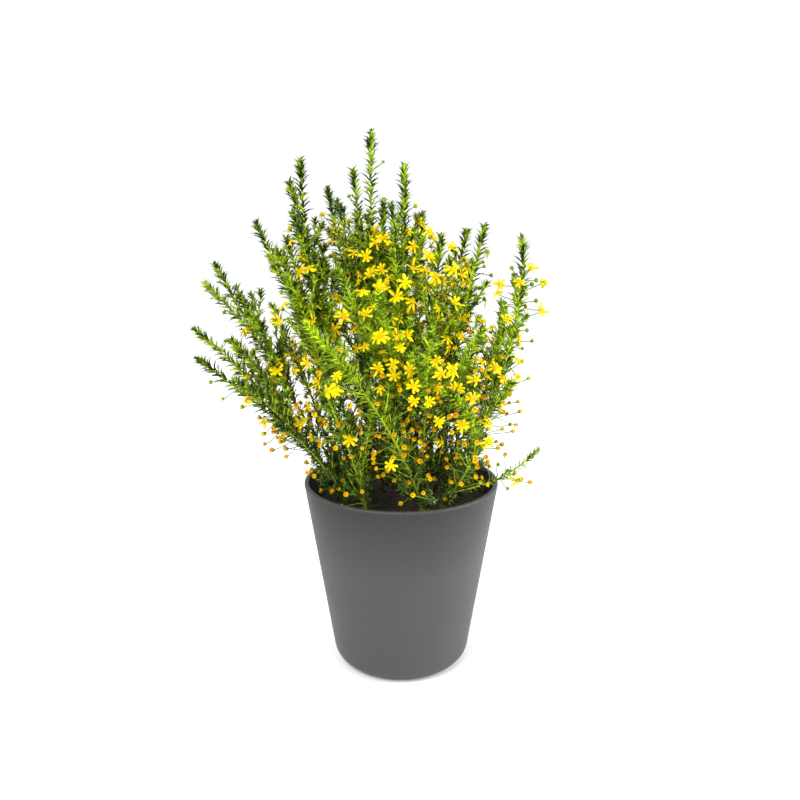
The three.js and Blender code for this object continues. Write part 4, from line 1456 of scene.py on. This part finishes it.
class EURYOPS_OT_shoots(EuryopsOperator):
    """Grow the leafy shoots, one piece for each stem"""

    bl_idname = "euryops.shoots"
    bl_label = "Leafy shoots"

    def execute(self, context):
        settings = context.scene.euryops_shoots
        kept = patterns("leaves", [leaf_shape(lobes, curl) for lobes, curl in LEAF_SHAPES])
        finishes = {"leaf_finish": leaf_finish(settings), "bark_finish": bark_finish(settings)}
        inputs = {name: getattr(settings, name) for name in LEAF_INPUTS}
        for number, stem in enumerate(STEMS):
            paths, values = shoot_paths(stem)
            shoots = grown(
                "shoots_" + stem,
                wires_of("paths_" + stem, paths, **values),
                leafy_shoots_tree(),
                leaf_patterns=len(LEAF_SHAPES),
                seed=settings.seed + 10 * number,
                leaves=kept,
                **inputs,
                **finishes,
            )
            placed(shoots, "foliage", "stem_" + stem)
        drop_patterns(kept)
        return {"FINISHED"}


def stalk_path(stem, head):
    """The line of a head's stalk: it leaves the shoot upwards and arches over to its head."""
    route = plant().fine[stem][head["shoot"]]
    start, heading = below_tip(route, max(head["distance"], STALK_FROM_TIP))
    end = head["centre"] - head["facing"] * STALK_ENDS_BEHIND[head["kind"]]
    reach = np.linalg.norm(end - start)
    out = unit(end - start)
    leave = start + unit(heading + out * 0.9) * reach * 0.38
    arrive = end - unit(head["facing"] + out * 0.5) * reach * 0.34
    t = np.linspace(0, 1, STALK_POINTS)[:, None]
    return (1 - t) ** 3 * start + 3 * (1 - t) ** 2 * t * leave + 3 * (1 - t) * t**2 * arrive + t**3 * end


def stalk_values(stem, heads):
    """What the growth tree reads along each head's stalk: the last point carries the head."""
    last = np.arange(STALK_POINTS) == STALK_POINTS - 1
    return {
        "kind": [last * KINDS[head["kind"]] for head in heads],
        "facing": [np.tile(head["facing"], (STALK_POINTS, 1)) for head in heads],
        "stalk_radius": [STALK_RADII * MM] * len(heads),
        "sun": [np.full(STALK_POINTS, SUNLIT.get(stem, PLAIN_SUN))] * len(heads),
    }


class EURYOPS_OT_flowers(EuryopsOperator):
    """Grow the blooms, buttons and buds, one piece for each stem"""

    bl_idname = "euryops.flowers"
    bl_label = "Flower heads"

    def execute(self, context):
        settings = context.scene.euryops_flowers
        draw = Draw(PETAL_SEED)
        whorls = []
        for number in range(settings.whorls):
            whorls.append(petal_shape(draw, 7 + number % 3, WHORL_DROOPS[number % len(WHORL_DROOPS)]))
        kept = patterns("whorls", whorls)
        disc_mesh = floret_shape("disc", 1.8, 1.2, 0.2, 12)
        button_mesh = floret_shape("button", 1.72, 1.55, 0.25, 18)
        cup_mesh, bud_mesh = turned_shape("cup", CUP_LEVELS), turned_shape("bud", BUD_LEVELS)
        single = patterns("heads", [disc_mesh, button_mesh, cup_mesh, bud_mesh])
        inputs = dict(zip(("disc", "button", "cup", "bud"), single.objects))
        gold, middle = (settings.old_gold, settings.fresh_gold), (settings.old_middle, settings.old_gold)
        disc_colours = (settings.disc_gold, settings.petal_yellow, settings.disc_gold, settings.disc_gold)
        inputs |= {
            "stalk_sides": settings.stalk_sides,
            "petal_patterns": settings.whorls,
            "petals": kept,
            "petal_finish": petal_finish(settings),
            "disc_finish": floret_finish("Fresh florets", *disc_colours),
            "button_finish": floret_finish("Golden florets", *gold, *middle),
            "cup_finish": cup_finish(settings),
            "stalk_finish": stalk_finish(settings),
        }
        for number, (stem, heads) in enumerate(plant().heads.items()):
            paths = [stalk_path(stem, head) for head in heads]
            mesh = wires_of("stalks_" + stem, paths, **stalk_values(stem, heads))
            seed = settings.seed + 10 * number
            flowers = grown("flowers_" + stem, mesh, flower_heads_tree(), seed=seed, **inputs)
            names = sorted({head["spray"] for head in heads if head["spray"].startswith("spray")})
            placed(flowers, "flowers", *names)
        drop_patterns(kept)
        drop_patterns(single)
        return {"FINISHED"}


def soft_light(name, power, size, place):
    """A square soft light at a place, turned to the plant's middle."""
    data = bpy.data.lights.new(name, "AREA")
    data.energy = power
    data.size = size
    lamp = bpy.data.objects.new(name, data)
    direction = np.array(PLANT_MIDDLE, float) - np.array(place, float)
    lamp.location = place
    lamp.rotation_euler = Vector(direction).to_track_quat("-Z", "Y").to_euler()
    bpy.context.scene.collection.objects.link(lamp)


class EURYOPS_OT_stage(EuryopsOperator):
    """Lay the plain floor and set the light and the camera"""

    bl_idname = "euryops.stage"
    bl_label = "Floor, light and camera"

    def execute(self, context):
        settings = context.scene.euryops_stage
        scene = context.scene
        edge = ring(FLOOR_RADIUS, FLOOR_RADIUS, 0, FLOOR_SIDES)
        floor = object_of("floor", mesh_of("floor", edge, [tuple(range(FLOOR_SIDES))]))
        finish = Finish("Plain floor", Specular_IOR_Level=0.1)
        floor.data.materials.append(finish.surface(opaque(settings.floor_colour), 0.9))
        world = bpy.data.worlds.new("Pale surround")
        world.use_nodes = True
        background = world.node_tree.nodes["Background"]
        background.inputs["Color"].default_value = (1, 1, 1, 1)
        background.inputs["Strength"].default_value = settings.sky
        scene.world = world
        scene.view_settings.view_transform = "Standard"
        soft_light("key_light", settings.key, *KEY_LIGHT)
        soft_light("fill_light", settings.fill, *FILL_LIGHT)
        camera = bpy.data.cameras.new("camera")
        camera.sensor_width = SENSOR_WIDTH
        camera.lens = SENSOR_WIDTH * settings.focal_pixels / FRAME_PIXELS
        eye = bpy.data.objects.new("camera", camera)
        back = settings.distance * math.cos(settings.pitch)
        height = settings.target_height + settings.distance * math.sin(settings.pitch)
        eye.location = (-settings.side_step, -back, height)
        eye.rotation_euler = (math.pi / 2 - settings.pitch, 0, 0)
        scene.collection.objects.link(eye)
        scene.camera = eye
        return {"FINISHED"}


SECTIONS = [
    ("euryops.pot", "euryops_pot", EuryopsPot),
    ("euryops.soil", "euryops_soil", EuryopsSoil),
    ("euryops.shoots", "euryops_shoots", EuryopsShoots),
    ("euryops.flowers", "euryops_flowers", EuryopsFlowers),
    ("euryops.stage", "euryops_stage", EuryopsStage),
]


class EURYOPS_PT_panel(bpy.types.Panel):
    """The plant's settings and the steps that build it"""

    bl_idname = "EURYOPS_PT_panel"
    bl_label = "Potted honey euryops"
    bl_space_type = "VIEW_3D"
    bl_region_type = "UI"
    bl_category = "Euryops"

    def draw(self, context):
        for operator, attribute, group in SECTIONS:
            section = self.layout.box()
            section.operator(operator)
            for name in group.__annotations__:
                section.prop(getattr(context.scene, attribute), name)


CLASSES = [group for _, _, group in SECTIONS] + [
    EURYOPS_OT_pot,
    EURYOPS_OT_soil,
    EURYOPS_OT_shoots,
    EURYOPS_OT_flowers,
    EURYOPS_OT_stage,
    EURYOPS_PT_panel,
]


def register():
    for one in CLASSES:
        bpy.utils.register_class(one)
    for _, attribute, group in SECTIONS:
        setattr(bpy.types.Scene, attribute, PointerProperty(type=group))


def unregister():
    for _, attribute, _ in SECTIONS:
        delattr(bpy.types.Scene, attribute)
    for one in reversed(CLASSES):
        bpy.utils.unregister_class(one)


def main():
    register()
    bpy.ops.euryops.pot()
    bpy.ops.euryops.soil()
    bpy.ops.euryops.shoots()
    bpy.ops.euryops.flowers()
    bpy.ops.euryops.stage()


if __name__ == "__main__":
    main()
